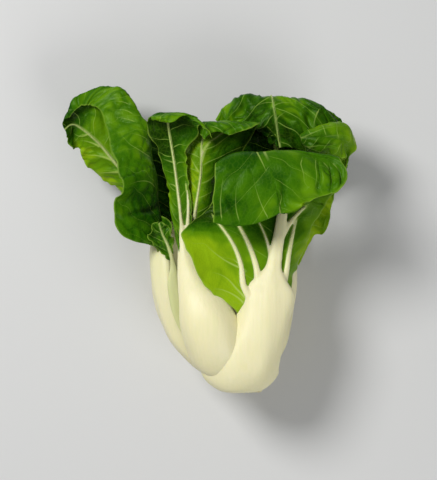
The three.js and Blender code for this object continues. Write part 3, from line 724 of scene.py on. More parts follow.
def valleys(leaf, sheet):
    """How deep each place lies in a crease, 0 to the crease's own depth."""
    valley = np.zeros(sheet.shape[:2])
    for crease in leaf["creases"]:
        path = rib_path(leaf, crease, 24)[0]
        width, depth = crease[7:]
        d = np.linalg.norm(sheet[:, :, None] - path[None, None], axis=3)
        ends = np.sqrt(np.sin(math.pi * (d.argmin(axis=2) + 0.5) / len(path)))
        valley = np.maximum(valley, np.exp(-((d.min(axis=2) / width) ** 2)) * ends * depth)
    return valley


def thin_solid(name, front, back):
    """One closed solid between two sheets of the same rows and columns."""
    rows, count = front.shape[:2]
    total = rows * count
    index = np.arange(total).reshape(rows, count)
    a, b, c, d = index[:-1, :-1], index[1:, :-1], index[1:, 1:], index[:-1, 1:]
    rim = np.concatenate([index[0, :-1], index[:-1, -1], index[-1, :0:-1], index[:0:-1, 0]])
    nxt = np.roll(rim, -1)
    faces = np.concatenate([
        np.stack([a, b, c, d], -1).reshape(-1, 4),
        np.stack([a + total, d + total, c + total, b + total], -1).reshape(-1, 4),
        np.stack([rim, nxt, nxt + total, rim + total], -1),
    ])
    points = placed(np.concatenate([front.reshape(-1, 3), back.reshape(-1, 3)]))
    mesh = bpy.data.meshes.new(name)
    mesh.from_pydata(points.tolist(), [], faces.tolist())
    return mesh


def make_blade(name, leaf, seed):
    """The blade as one closed thin solid, with its veins, its green (partly painted light and
    shade), its margin (paler, with a painted highlight) and its face stored on it.
    """
    rows, cols = leaf["grid"]
    u = np.linspace(leaf["plus"][0][0], len(leaf["spine"]) - 1, rows)
    v = np.linspace(0, 1, cols + 1)
    minus, plus = half_sheet(leaf, u, -1, v), half_sheet(leaf, u, 1, v)
    sheet = np.concatenate([minus[:, ::-1], plus[:, 1:]], axis=1)
    side = np.concatenate([-np.ones(cols), [0], np.ones(cols)])
    share = np.abs(np.linspace(-1, 1, 2 * cols + 1))
    height = wave_height(leaf, u[:, None], share, side)
    sheet = sheet + sheet_normals(sheet) * height[..., None]

    # the blade laid flat: millimetres along the spine and out from it
    step_out = np.linalg.norm(np.diff(sheet, axis=1), axis=2)
    run = np.concatenate([np.zeros((rows, 1)), np.cumsum(step_out, axis=1)], axis=1)
    out = run - run[:, cols:cols + 1]
    step_up = np.linalg.norm(np.diff(sheet[:, cols], axis=0), axis=1)
    up = np.concatenate([[0], np.cumsum(step_up)])[:, None] + 0 * out
    flat = np.stack([up, out], -1)
    away = np.abs(out)
    reach = np.where(out < 0, away[:, :1], away[:, -1:])

    # side veins leave the midrib in turn and sweep toward the tip
    spacing = leaf["spacing"]
    warp = VEIN_WANDER * swell(flat, seed)
    lean = (up - VEIN_LEAN * away + VEIN_CURVE * away ** 2) / spacing
    lean = lean + np.where(out < 0, 0.0, 0.5) + warp
    side_off = (lean - np.round(lean)) * spacing * 0.8
    taper = np.clip(1 - away / np.maximum(reach, 1), 0, 1)
    half = np.maximum(through(leaf["half_width"], u), 0.4)
    beyond = np.clip((away - half * 0.8) / 2.0, 0, 1)
    side_wide = (0.28 + 0.5 * taper) * beyond * np.clip(leaf["faint"] * (0.4 + taper), 0, 1)
    side_body = np.exp(-((side_off / (VEIN_FINE + VEIN_GROWS * taper)) ** 2)) * beyond
    side_body = side_body * (0.25 + 0.75 * taper) * leaf["faint"]
    trough = np.exp(-((side_off / TROUGH_WIDE) ** 2)) * beyond
    rib = np.maximum(away - half * 0.5, 0) / (0.2 + 0.25 * half)
    rib = np.exp(-(rib ** 2)) * through(leaf["line"], u)

    # puckers between the veins, broad folds, creases and the frilled edge
    drawn_off, drawn_wide, drawn_body, drawn = main_veins(leaf, sheet)
    valley = valleys(leaf, sheet)
    facing = np.sign(sheet_normals(sheet)[..., 2])
    across_veins = (lean - warp) * spacing
    wander = 2.2 * np.stack([swell(flat, seed + 7), swell(flat, seed + 8)], -1)
    cells = np.stack([across_veins * 0.8, 0.62 * out], -1) + wander
    small = puckers(cells, leaf["cell"], seed + 1)
    pucker = through(leaf["pucker"], u)
    dome = (1 - (1 - small) ** 2) * pucker * (1 - 0.7 * trough) * (1 - rib) * (1 - drawn)
    dome = dome * np.clip(away / 6, 0, 1)
    broad = swell(np.stack([across_veins * 0.7, 0.30 * out], -1), seed + 5)
    relief = dome - TROUGH_DEEP * pucker * trough - 0.3 * drawn
    relief = relief + leaf["folds"] * broad * share ** 0.7 - CREASE_DEEP * valley * facing
    frill = np.sin(2 * math.pi * up / FRILL_LONG + 2 * swell(flat, seed + 9) + side)
    relief = relief + leaf["frill"] * share ** 5 * frill
    sheet = sheet + sheet_normals(sheet) * relief[..., None]
    # a margin is never quite even
    nib = MARGIN_NIBBLE * np.sin(up / 2.7 + 3 * side)
    nib = nib + MARGIN_NIBBLE * swell(flat * 2.2, seed + 11) - 0.3
    outward = unit(np.gradient(sheet, axis=1)) * np.sign(side)[None, :, None]
    sheet = sheet + outward * (share ** 8 * nib)[..., None]
    sheet[..., 2] = rest(sheet[..., 2], 0.7)

    # two faces: the inner one smooth, the outer one with its veins standing out
    normals = sheet_normals(sheet)
    thick = (BLADE_THICK - MARGIN_THIN * share ** 6)[None] / 2
    behind = thick + SIDE_VEINS_OUT * side_body + MAIN_VEINS_OUT * drawn_body
    mesh = thin_solid(
        name, sheet + normals * thick[..., None], sheet - normals * behind[..., None])

    # tone from dark green at 0 to bright at 1, keyed at the minus margin, midrib and plus margin:
    # partly the leaf's own green, partly painted light and shade where the blade is lit through
    # or lies in shade
    keys = through(leaf["tone"], u)
    low, mid, high = keys[:, 0:1], keys[:, 1:2], keys[:, 2:3]
    tone = mid + (np.where(out < 0, low, high) - mid) * share ** 1.2
    # uneven green at random, plus painted shade on the walls of the puckers and painted light on
    # their domes
    tone = tone + 0.06 * swell(flat * 0.6, seed + 21) + leaf["crease"] * (small - 0.55)
    # painted light on the raised folds, painted shade in their troughs and in the creases
    tone = tone + 0.10 * leaf["folds"] * broad - 0.15 * valley
    # the margin drawn paler, partly as a painted highlight along the edge
    rim = np.clip((1.0 - (reach - away)) / 0.7, 0, 1) * np.clip(away / 3, 0, 1)
    store(
        mesh,
        side_off=(side_off, side_off),
        side_wide=(side_wide, side_wide * 1.15),
        drawn_off=(drawn_off, drawn_off),
        drawn_wide=(drawn_wide, drawn_wide),
        rib=(rib * 0.9, rib),
        tone=(tone, tone),
        rim=(rim, rim),
        under=(0 * tone, 0 * tone + 1),
    )
    flat_map = mesh.uv_layers.new(name="flat")
    corners = np.empty(len(mesh.loops), dtype=np.int32)
    mesh.loops.foreach_get("vertex_index", corners)
    both = np.concatenate([flat.reshape(-1, 2), flat.reshape(-1, 2) + 400]) / 100
    flat_map.data.foreach_set("uv", both[corners].astype(np.float32).ravel())
    return mesh


def add_leaf(name, seed, **leaf):
    """One leaf: its stalk and its blade, from rows that each open with a station.

    Spine, margins and half widths are in millimetres, and the cup of the stalk in degrees.
    A rib, vein or crease holds its side, three places as station and share of the way to
    the margin, and two sizes. A straight leaf has its across way along +X.
    """
    leaf = {
        "across": [[0, 1, 0, 0], [15, 1, 0, 0]], "ribs": [], "veins": [], "creases": [],
        "rib_green": (0.3, 0.7), "rate": 0.6, "voxel": 0.5, "ends": 99, **leaf}
    stalk, blade = name + "_stalk_dressed", name + "_blade_dressed"
    add_object(stalk, make_stalk(stalk, leaf), stalk_flesh, name + "_stalk")
    add_object(blade, make_blade(blade, leaf, seed), leaf_blade, name + "_blade")


# ---------------------------------------------------------------------------------------
# Front right leaf: the outermost. Its stalk wraps the stem end and splits into a fan of
# ribs; its blade has a wing on the left, painted bright as if lit through, and folds over
# toward the viewer at the top.
add_leaf(
    "front_right", 11,
    spine=[
        [18, -84, 46], [17, -88, 54], [17.8, -85, 63], [20.5, -75, 69.5], [27, -58, 72],
        [32, -40, 71], [35.5, -24, 69], [38.2, -8, 67], [41, 8, 66], [42.3, 24, 66],
        [38.5, 39, 70], [33, 48, 78], [31, 50, 86], [34, 43, 92], [37.5, 30, 94],
        [40, 15, 93],
    ],
    half_width=[
        [0, 17], [1, 26], [2, 28], [3, 25.2], [4, 17.8], [4.7, 16.6], [5.3, 16.8],
        [5.7, 15.4], [6.05, 9.5], [6.4, 5.3], [6.9, 4.2], [8, 3.4], [9, 2.8], [10, 1.9],
        [11, 1.1], [12, 0.8], [13, 0.6], [15, 0.5],
    ],
    cup=[
        [0, 50], [1, 56], [2, 64], [3, 68], [4, 48], [5, 38], [6, 20], [7, 6], [8, 2],
        [15, 0],
    ],
    plus=[
        [4.7, 44, -50, 65], [5.2, 47, -37.5, 63], [5.8, 47.5, -26.5, 59],
        [6.5, 52, -16, 56], [7.2, 55.5, -6, 56], [8, 60, 6.5, 58], [9, 67.5, 19.5, 62],
        [10, 74, 31, 71], [11, 78, 39.5, 80, 22, 2], [11.8, 74.5, 45, 86, 22, 2],
        [12.5, 78, 41, 90, 22], [13, 78.5, 33.5, 92, 22], [13.5, 73.5, 27, 94, 20],
        [14, 65.5, 25, 94], [15, 53.5, 20, 94, 0, 0, 3],
    ],
    minus=[
        [4.7, 17, -51, 66], [5.2, 13, -40.5, 69], [5.8, 0.5, -32, 75, 18],
        [6.4, -7.5, -21.5, 77, 28], [7, -13.5, -7.5, 76, 34], [7.5, -17, 3, 73, 36],
        [8.1, -12, 9, 68, 34], [9, -1.5, 19, 64, 26], [10, 3, 33.5, 70, 22],
        [11, 3.5, 42.5, 80, 22, 2], [12, 3.5, 44, 88, 20, 2], [13, 2, 34.5, 94, 22],
        [14, 1, 20, 95, 22], [15, 1.5, 9.5, 93, 22, 0, 9],
    ],
    wave=[[0, 0], [5, 0.3], [8, 0.8], [15, 1.2]],
    ribs=[
        [-1, 5.34, 0.63, 6.64, 0.37, 8.23, 0.71, 2.3, 0.7],
        [-1, 5.46, 0.23, 6.74, 0.21, 8.13, 0.45, 2.6, 0.9],
        [-1, 6.64, 0.03, 7.42, 0.1, 8.21, 0.23, 1.4, 0.5],
        [1, 5.53, 0.54, 6.93, 0.41, 8.29, 0.41, 2.4, 0.9],
        [1, 7.55, 0.07, 8.21, 0.28, 8.77, 0.56, 2, 1],
    ],
    veins=[
        [-1, 6.31, 0.36, 6.62, 0.55, 7.07, 0.72, 0.5, 0.25],
        [-1, 5.44, 0.67, 5.96, 0.62, 6.33, 0.77, 0.5, 0.25],
        [-1, 5.3, 0.79, 5.69, 0.79, 5.9, 0.95, 0.42, 0.2],
        [-1, 14.69, 0.86, 13.95, 0.85, 12.94, 0.78, 0.26, 0.16],
        [-1, 14.79, 0.59, 14.13, 0.6, 13.43, 0.52, 0.16, 0.06],
        [-1, 14.9, 0.18, 14.19, 0.26, 13.39, 0.27, 0.18, 0.08],
        [-1, 11.41, 0.12, 12.81, 0.09, 13.29, 0.07, 0.5, 0.15],
        [1, 15, 0, 14.46, 0.44, 14.07, 0.23, 0.24, 0.1],
        [1, 12.92, 0.43, 13.53, 0.47, 13.86, 0.83, 0.18, 0.06],
        [1, 12.77, 0.62, 13.47, 0.65, 13.86, 0.91, 0.12, 0.08],
        [1, 12.71, 0.73, 13.02, 0.8, 13.47, 0.88, 0.14, 0.08],
        [1, 12.54, 0.85, 12.81, 0.91, 13.06, 0.96, 0.12, 0.06],
    ],
    creases=[
        [1, 13.76, 0.17, 14.17, 0.46, 14.75, 0.53, 1.6, 0.8],
        [1, 13.72, 0.47, 13.78, 0.59, 13.89, 0.74, 1.8, 0.6],
        [-1, 13.68, 0.78, 14.17, 0.7, 14.73, 0.65, 1.8, 0.8],
        [1, 12.75, 0.8, 13.31, 0.84, 13.74, 0.98, 0.9, 1.1],
        [1, 12.65, 0.67, 13.45, 0.7, 14.01, 0.99, 0.9, 0.9],
        [1, 12.58, 0.9, 12.96, 0.93, 13.39, 0.97, 0.7, 0.9],
        [1, 13.08, 0.71, 13.16, 0.78, 13.04, 0.86, 0.6, 0.7],
        [1, 13.53, 0.82, 13.51, 0.88, 13.33, 0.92, 0.6, 0.7],
    ],
    # the tone paints light: the wing bright as if lit through, and the parts that lie in shade
    # lifted
    tone=[
        [4.7, 1.05, 0.75, 0.5], [5.3, 1.05, 0.78, 0.62], [6, 1.08, 0.68, 0.75],
        [7.3, 0.98, 0.42, 0.9], [7.7, 0.5, 0.28, 0.88], [8.2, 0.08, 0.22, 0.85],
        [9, 0.1, 0.28, 0.6], [9.6, 0.3, 0.35, 0.5], [11, 0.4, 0.42, 0.44],
        [12, 0.34, 0.44, 0.46], [13, 0.34, 0.4, 0.56], [14.2, 0.38, 0.42, 0.72],
        [15, 0.42, 0.52, 0.84],
    ],
    green=[[0, 0], [5, 0.2], [7, 0.3], [9, 0.5], [11, 0.8], [15, 1]],
    line=[[4.7, 1], [9, 1], [11, 0.9], [12.2, 0.7], [12.9, 0], [15, 0]],
    pucker=[[4.7, 0.25], [10, 0.3], [12, 0.3], [15, 0.4]],
    spacing=15, cell=9, frill=0.5, faint=0.12, crease=0.12, folds=0.8, grid=(230, 88),
    rib_green=(0.24, 0.74),
)

# ---------------------------------------------------------------------------------------
# Front left leaf: a round white belly tucked under the front right stalk, a slim upright
# blade, and a short lip turned over at its tip.
add_leaf(
    "front_left", 23,
    spine=[
        [13, -81, 46], [10, -80, 56], [5, -75, 66], [1.9, -63, 73], [-1.5, -49, 75.5],
        [-5.2, -36, 73], [-11, -23, 67], [-15.2, -8, 61], [-17, 6, 59], [-19, 24, 60],
        [-21.5, 44, 63], [-24, 60, 66], [-25.5, 70, 70], [-25, 73.5, 75], [-22.5, 72, 79],
        [-19.5, 69.5, 80.5],
    ],
    half_width=[
        [0, 8], [1, 18], [2, 21], [3, 21.5], [4, 20.2], [5, 16.4], [6, 9.8], [7, 4.7],
        [7.6, 2.9], [8.1, 1.4], [9, 0.85], [10, 0.62], [12, 0.45], [15, 0.35],
    ],
    cup=[
        [0, 60], [1, 70], [2, 75], [3, 72], [4, 66], [5, 58], [6, 48], [7, 30], [8, 12],
        [10, 3], [15, 0],
    ],
    plus=[
        [6.8, -11.5, 2, 61], [8, -11.5, 14.5, 61], [9, -12, 27.5, 62], [10, -14, 40.5, 64],
        [11, -14, 52, 67], [12, -7, 61.5, 71], [13, -6.5, 66, 77], [14, -3, 63.5, 80],
        [15, 2, 59, 80],
    ],
    minus=[
        [6.8, -18, 0.5, 61], [8, -23, 16, 57], [9, -25.5, 29, 57], [10, -28.5, 42, 60],
        [11, -33, 55, 62], [12, -37.5, 64.5, 66], [13, -37.5, 70, 72],
        [14, -34.5, 70.5, 76], [15, -30.5, 70, 78],
    ],
    wave=[[0, 0], [8, 0.4], [15, 1.2]],
    ribs=[[1, 7.82, 0.28, 8.61, 0.67, 9.38, 0.74, 1.45, 0.5]],
    veins=[
        [-1, 9.36, 0.12, 9.41, 0.46, 9.35, 0.8, 0.3, 0.15],
        [-1, 10.09, 0.12, 10.19, 0.48, 10.35, 0.84, 0.3, 0.1],
    ],
    creases=[[-1, 14.39, 0.82, 14.31, 0.48, 14.61, 0.14, 1, 0.5]],
    tone=[
        [6.8, 0.5, 0.4, 0.4], [8.4, 0.8, 0.4, 0.2], [9.2, 0.75, 0.34, 0.35],
        [10, 0.42, 0.24, 0.75], [10.8, 0.06, 0.08, 0.6], [12.3, 0, 0, 0.15],
        [12.9, 0.05, 0.1, 0.25], [13.6, 0.42, 0.42, 0.5], [15, 0.62, 0.6, 0.7],
    ],
    green=[[0, 0], [6, 0.2], [8, 0.42], [10, 0.62], [12, 0.9], [15, 1]],
    line=[[6.8, 1], [12, 1], [12.6, 0.2], [15, 0]],
    pucker=[[6.8, 0.3], [12, 0.4], [15, 0.6]],
    spacing=10, cell=5.5, frill=0.7, faint=0.25, crease=0.15, folds=0.5, grid=(130, 44),
    rib_green=(0.3, 0.62),
)

# ---------------------------------------------------------------------------------------
# Left leaf: grows out to the left. Its blade is rolled over itself, with the fold on the
# right, and hooks to the left at the tip.
add_leaf(
    "left", 37,
    spine=[
        [9, -80, 40], [-3, -77.5, 41], [-12, -70.5, 43], [-21.9, -59, 43.5],
        [-27.8, -44, 44], [-31.5, -28, 44], [-32.4, -10, 43], [-32, 3, 40], [-36, 18, 36],
        [-46, 32, 33], [-57, 45, 32], [-67, 57, 32], [-76, 65, 33], [-83, 69, 35],
        [-88, 66, 38],
    ],
    across=[
        [0, 0.5, 0, 0.87], [6, 0.5, 0, 0.87], [7, 0.65, 0.2, 0.65], [8, 0.88, 0.4, 0.25],
        [9, 0.88, 0.48, 0.2], [10, 0.82, 0.6, 0.2], [11, 0.68, 0.75, 0.2],
        [12, 0.45, 0.9, 0.15], [13, 0.2, 1, 0.1], [14, 0.05, 1, 0],
    ],
    half_width=[
        [0, 7], [1, 11], [2, 12], [3, 11.6], [4, 11.6], [5, 11.5], [6, 10.5], [6.6, 7.2],
        [7.1, 4.4], [8, 2.4], [9, 1.4], [10, 1.1], [12, 0.65], [14, 0.35],
    ],
    cup=[[0, 50], [1, 55], [3, 52], [5, 46], [6, 38], [7, 8], [8, 0], [14, 0]],
    plus=[
        [6, -32.5, -4, 52, 4], [6.5, -41.5, -2.5, 58, 12], [7, -52.5, 2, 63, 14],
        [7.5, -57, 12.5, 65, 14], [8, -56.5, 23, 66, 17], [8.6, -52, 30.5, 65, 28],
        [9.4, -55.5, 43, 61, 43], [10.2, -60, 54.5, 52, 56], [11, -62.5, 66.5, 46, 58],
        [11.8, -66.5, 76, 42, 58], [12.6, -72.5, 80.5, 40, 46], [13, -76, 80, 40, 29],
        [13.4, -79, 79, 40, 14], [14, -84.5, 73, 41, 8],
    ],
    minus=[
        [6, -25.5, -2.5, 44], [6.5, -23.5, 6.5, 46], [7, -27.5, 13, 43], [7.5, -37, 17, 34],
        [8, -45.5, 17.5, 27], [9, -56, 28.5, 23], [10, -65.5, 37, 24], [11, -76, 45, 26],
        [11.8, -79.5, 53.5, 29], [12.6, -82, 54.5, 33], [13.3, -85, 56, 36],
        [14, -86.5, 60.5, 39],
    ],
    wave=[[0, 0], [6, 0.5], [8, 1], [14, 1]],
    veins=[
        [-1, 10.17, 0, 10.71, 0.33, 11.29, 0.78, 0.6, 0.25],
        [-1, 9.72, 0.1, 10.04, 0.56, 10.39, 1, 0.5, 0.2],
        [-1, 10.99, 0.07, 11.43, 0.23, 12.01, 0.57, 0.5, 0.2],
        [-1, 11.77, 0, 12.12, 0.35, 12.69, 0.35, 0.4, 0.2],
        [1, 9.22, 0.58, 9.74, 0.83, 10.65, 0.91, 0.22, 0.06],
        [1, 10.62, 0.76, 10.89, 0.84, 11.19, 0.93, 0.16, 0.05],
        [1, 10.91, 0.74, 11.18, 0.82, 11.42, 0.92, 0.14, 0.05],
        [1, 11.23, 0.72, 11.5, 0.81, 11.74, 0.9, 0.14, 0.05],
        [1, 8.37, 0.55, 8.57, 0.78, 8.61, 0.94, 0.24, 0.1],
        [1, 9.72, 0.59, 10.01, 0.75, 10.33, 0.85, 0.12, 0.05],
    ],
    creases=[
        [1, 12.12, 0.15, 11.48, 0.1, 10.86, 0.04, 0.9, 0.8],
        [1, 7.59, 0.86, 7.64, 0.7, 7.81, 0.36, 1.7, 1],
        [1, 11.11, 0.39, 11.39, 0.3, 11.48, 0.9, 0.8, 0.4],
        [1, 10.25, 0.71, 10.62, 0.81, 11, 0.92, 0.9, 0.45],
        [1, 9.14, 1, 8.92, 0.95, 8.98, 0.06, 1, 0.5],
        [1, 9.59, 0.98, 9.32, 0.91, 8.85, 0.78, 1, 0.4],
    ],
    # the keys near stations 11 to 13 are raised as painted light in the hollow under the rolled
    # fold, which lies in shade
    tone=[
        [6, 0.4, 0.2, 0.55], [7, 0.35, 0, 0.42], [7.6, 0.35, 0, 0.48],
        [8.1, 0.45, 0.1, 0.5], [8.6, 0.7, 0.4, 0.5], [9, 0.95, 0.5, 0.5],
        [11, 1, 0.7, 0.58], [12.1, 0.8, 0.62, 0.62], [12.7, 0.5, 0.3, 0.62],
        [13.2, 0.4, 0.1, 0.5], [14, 0.3, 0.15, 0.5],
    ],
    green=[[0, 0], [5, 0.3], [6.5, 0.5], [8, 0.7], [14, 0.85]],
    line=[[6, 1], [14, 1]],
    pucker=[[6, 0.6], [9, 0.7], [14, 0.7]],
    spacing=10, cell=6, frill=0.6, faint=0.14, crease=0.18, folds=0.9, grid=(220, 76),
)

# ---------------------------------------------------------------------------------------
# Centre leaf: stands behind the two front leaves, its tip turned over as a ruffled lip.
# Its pale stalk grew from the stem underneath theirs, so it is mostly its blade that shows.
add_leaf(
    "centre", 41,
    spine=[
        [16, -76, 40], [10, -62, 44], [3, -44, 48], [-4, -24, 51], [-11, -2, 55],
        [-9, 18, 59], [-6, 38, 62], [-5.5, 54, 63], [-4, 64, 64], [-3, 68.5, 69],
        [-1, 66.5, 73.5], [1, 62, 75],
    ],
    half_width=[
        [0, 8], [1, 13], [2, 14.5], [3, 11], [3.6, 5.5], [4, 3.4], [5, 1], [6, 0.62],
        [8, 0.42], [11, 0.5],
    ],
    cup=[[0, 60], [2, 55], [4, 20], [6, 0], [11, 0]],
    plus=[
        [3.8, -9, -3.5, 52], [4.4, -3.5, 5.5, 51], [5, 2, 16, 51], [6, 6.5, 36, 53],
        [7, 18, 51, 58], [8, 26.5, 64, 62], [9, 29, 68, 69], [10, 23, 64, 74],
        [11, 11, 60.5, 76],
    ],
    minus=[
        [3.8, -13, -3.5, 52], [5, -15.5, 16, 50], [6, -16, 35, 51], [7, -15, 50, 54],
        [8, -12.5, 61, 60], [9, -8.5, 64, 67], [10, -6.5, 61, 70], [11, -3, 58, 73],
    ],
    wave=[[0, 0], [5, 0.5], [11, 1.4]],
    ribs=[[1, 6.6, 0.03, 7.1, 0.12, 7.9, 0.36, 1, 0.5]],
    veins=[
        [-1, 6.11, 0.1, 6.38, 0.29, 6.76, 0.53, 0.35, 0.15],
        [1, 6.45, 0.03, 6.89, 0.12, 7.38, 0.21, 0.4, 0.2],
        [1, 6.89, 0.04, 7.57, 0.24, 7.94, 0.43, 0.3, 0.15],
    ],
    creases=[[1, 11, 0.57, 10.49, 0.71, 8.36, 0.77, 1, 0.5]],
    # painted light lifts the blade, which lies in the front leaves' shade, and the plus margin at
    # stations 6 to 7.6 is painted dark as the shaded hollow beside the front right leaf's hood
    tone=[
        [3.8, 0.6, 0.5, 0.2], [6, 0.95, 0.8, 0.05], [7.6, 1, 0.75, 0], [8.6, 0.6, 0.5, 0.3],
        [11, 0.48, 0.5, 0.48],
    ],
    green=[[0, 0], [3, 0.3], [5, 0.6], [7, 0.78], [11, 1]],
    line=[[3.8, 1], [8, 1], [8.6, 0.2], [11, 0]],
    pucker=[[3.8, 0.4], [8, 0.6], [11, 0.7]],
    spacing=9, cell=4.5, frill=0.8, faint=0.35, crease=0.22, folds=0.7, grid=(110, 44),
    rib_green=(0.62, 0.85),
)

# ---------------------------------------------------------------------------------------
# Right leaf: its stalk stands behind the front right one, and its puckered tip curls over
# as a small lobe.
add_leaf(
    "right", 53,
    spine=[
        [27, -80, 38], [30.5, -76, 38], [34.9, -62, 38], [43.3, -46, 39], [47.5, -30, 41],
        [49, -12, 43], [52, 2, 44], [56, 16, 45], [62, 30, 46], [70, 42, 47], [79, 49, 50],
        [81, 55.5, 59], [75, 58.5, 66], [64, 60, 69], [53, 59, 66],
    ],
    across=[
        [0, 0, 0, -1], [5, 0, 0, -1], [6, 0.4, -0.3, -0.8], [7, 0.8, -0.5, -0.3],
        [9, 0.75, -0.6, 0], [10, 0.8, -0.3, 0.2], [11, 0.7, 0.3, 0.2], [12, 0.3, 0.8, 0],
        [14, 0.1, 1, 0],
    ],
    half_width=[
        [0, 8], [1, 13], [2, 14.5], [3, 15], [4, 14], [5, 10], [6, 4.2], [8, 2.1],
        [10, 1.2], [14, 0.6],
    ],
    cup=[[0, 50], [3, 60], [5, 40], [6, 15], [8, 0], [14, 0]],
    plus=[
        [5, 53.5, -16.5, 34], [6, 58, -5.5, 36], [6.6, 62.5, 1, 38], [7.2, 68.5, 4, 40],
        [8, 72, 16, 43], [9, 74.5, 30, 46], [9.6, 79, 37, 47], [10.3, 81, 46.5, 50],
        [11, 85.5, 54.5, 55], [11.7, 85.5, 62, 59, 0, -3], [12.3, 79, 67, 61, 0, -2],
        [13, 69.5, 68, 61.5, 0, -2.5], [13.6, 59, 66, 62.5, 0, -1.5], [14, 52, 61, 63],
    ],
    minus=[
        [5, 46, -13.5, 50], [6, 44.5, -0.5, 52], [7, 49, 11.5, 52], [8, 53.5, 24.5, 52],
        [9, 59, 35, 52], [10, 67.5, 42.5, 50], [11, 80.5, 48.5, 56, 0, -2],
        [12, 75, 47.5, 61, 0, -2], [13, 64.5, 49, 61.5, 0, -2.5],
        [13.6, 58, 52.5, 62.5, 0, -1.5], [14, 52.5, 57, 63],
    ],
    wave=[[0, 0], [6, 0.8], [14, 1]],
    veins=[
        [1, 14, 0.09, 13.06, 0.33, 12.07, 0.86, 0.1, 0.04],
        [1, 13.91, 0, 12.79, 0.01, 11.35, 0.61, 0.1, 0.04],
        [-1, 13.84, 0.78, 12.92, 0.43, 11.31, 0.48, 0.1, 0.04],
        [-1, 13.66, 0.66, 13.1, 0.68, 12.03, 0.92, 0.08, 0.04],
    ],
    creases=[
        [-1, 13.71, 0.31, 12.92, 0.41, 11.98, 0.29, 1.3, 0.6],
        [-1, 12.56, 0.46, 12.5, 0.72, 12.38, 1, 0.8, 0.4],
        [-1, 11.69, 0.14, 11.66, 0.45, 11.67, 0.79, 0.8, 0.4],
    ],
    # painted light lifts the strip that lies in shade under the front right leaf's hood (stations
    # 5 to 8) and the top of the lobe; the lobe's far end is painted darker as shade
    tone=[
        [5, 0.8, 0.8, 0.95], [8, 0.75, 0.7, 0.9], [9.5, 0.5, 0.5, 0.6],
        [10.8, 0.85, 0.8, 0.9], [12, 0.7, 0.62, 0.9], [13.2, 0.52, 0.46, 0.78],
        [14, 0.24, 0.3, 0.45],
    ],
    green=[[0, 0], [5, 0.25], [8, 0.6], [10, 0.9], [14, 1]],
    line=[[5, 1], [9, 1], [10, 0], [14, 0]],
    pucker=[[5, 0.5], [11, 0.6], [14, 0.6]],
    spacing=8, cell=5, frill=0.5, faint=0.2, crease=0.14, folds=0.9, grid=(150, 48),
    voxel=0.55, ends=9.8,
)

# ---------------------------------------------------------------------------------------
# Back right leaf: the head lies on its broad white stalk, which grew from the underside of
# the stem. Its green blade arches over at the top.
add_leaf(
    "back_right", 67,
    spine=[
        [23, -80, 31], [26, -79, 20.3], [29, -68, 10.5], [32, -50, 5.6], [35, -28, 5],
        [39.5, -7, 7.2], [43, 16, 14], [42, 38, 22], [39, 58, 32], [36.5, 74, 42],
        [35.5, 83, 50], [36, 84, 56], [37, 78, 60], [39, 66, 60], [41, 54, 58],
    ],
    across=[
        [0, -0.98, 0, -0.2], [2, -0.97, 0, -0.24], [4, -0.97, 0, -0.24], [6, -1, 0, 0],
        [14, -1, 0, 0],
    ],
    half_width=[
        [0, 10], [1, 22], [2, 29.5], [3, 31], [4, 27], [5, 15.5], [6, 8.5], [7, 3.5],
        [9, 1.2], [10, 0.8], [12, 0.55], [14, 0.4],
    ],
    cup=[[0, 70], [1, 92], [2, 98], [3, 95], [4, 80], [5, 50], [6, 18], [8, 0], [14, 0]],
    plus=[
        [5.6, 31, 8.5, 14], [6.5, 20.5, 27, 16], [7.5, 11.5, 43, 24], [8.5, 3.5, 58.5, 33],
        [9.5, 1, 67, 43], [10.3, 3, 71, 50, 27, -3], [11, 3.5, 70, 54, 27, -4],
        [12, 8, 67, 57, 26], [12.7, 19, 69, 60, 18], [13.3, 29, 69, 60, 13],
        [13.7, 35, 66, 60, 8], [14, 40, 59.5, 59, 3],
    ],
    minus=[
        [5.6, 51.5, 8.5, 14], [6.5, 60.5, 27, 18], [7.5, 69, 40.5, 26],
        [8.5, 77.5, 52.5, 36], [9.5, 83.5, 60, 45], [10.3, 84, 62.5, 50, 32, -2],
        [11, 83, 62.5, 54, 32, -3], [12, 80, 55, 56, 34], [13, 69.5, 49, 57, 26],
        [14, 55, 46.5, 57, 12],
    ],
    wave=[[0, 0], [7, 0.8], [14, 2]],
    veins=[
        [-1, 12.03, 0.47, 12.47, 0.47, 12.84, 0.52, 0.3, 0.15],
        [-1, 12.67, 0, 12.45, 0.06, 12.3, 0.13, 0.16, 0.06],
        [1, 11.71, 0.01, 11.71, 0.12, 11.93, 0.3, 0.12, 0.05],
        [-1, 11.95, 0.01, 11.73, 0.11, 11.76, 0.25, 0.12, 0.05],
    ],
    creases=[
        [-1, 12.1, 0.36, 12.52, 0.39, 12.94, 0.48, 1.8, 0.8],
        [1, 11.44, 0.39, 11.88, 0.36, 12.48, 0.3, 2, 0.7],
        [-1, 12.33, 0.06, 12.8, 0.09, 13.66, 0.21, 2.2, 0.5],
        [1, 13.39, 0.97, 13.73, 0.75, 13.97, 0.36, 2.5, 0.8],
        [-1, 11.79, 0.64, 10.13, 0.83, 10.31, 0.93, 2.5, 0.6],
    ],
    # the lower blade (stations 5.6 to 9) is painted dark as the shaded hollow behind the hood,
    # and the minus side near the tip as the shadow of the right leaf's lobe
    tone=[
        [5.6, 0.12, 0.12, 0.12], [9, 0.12, 0.12, 0.12], [10.3, 0.36, 0.46, 0.5],
        [11.3, 0.34, 0.48, 0.54], [12.2, 0.34, 0.42, 0.56], [13.2, 0.14, 0.3, 0.34],
        [14, 0.06, 0.26, 0.14],
    ],
    green=[[0, 0], [5, 0.25], [8, 0.6], [10, 0.88], [14, 0.95]],
    line=[[5.6, 1], [14, 1]],
    pucker=[[5.6, 0.6], [10, 1.2], [14, 1.4]],
    spacing=11, cell=6.5, frill=0.8, faint=0.2, crease=0.32, folds=2.1, grid=(160, 60),
    voxel=0.6,
)

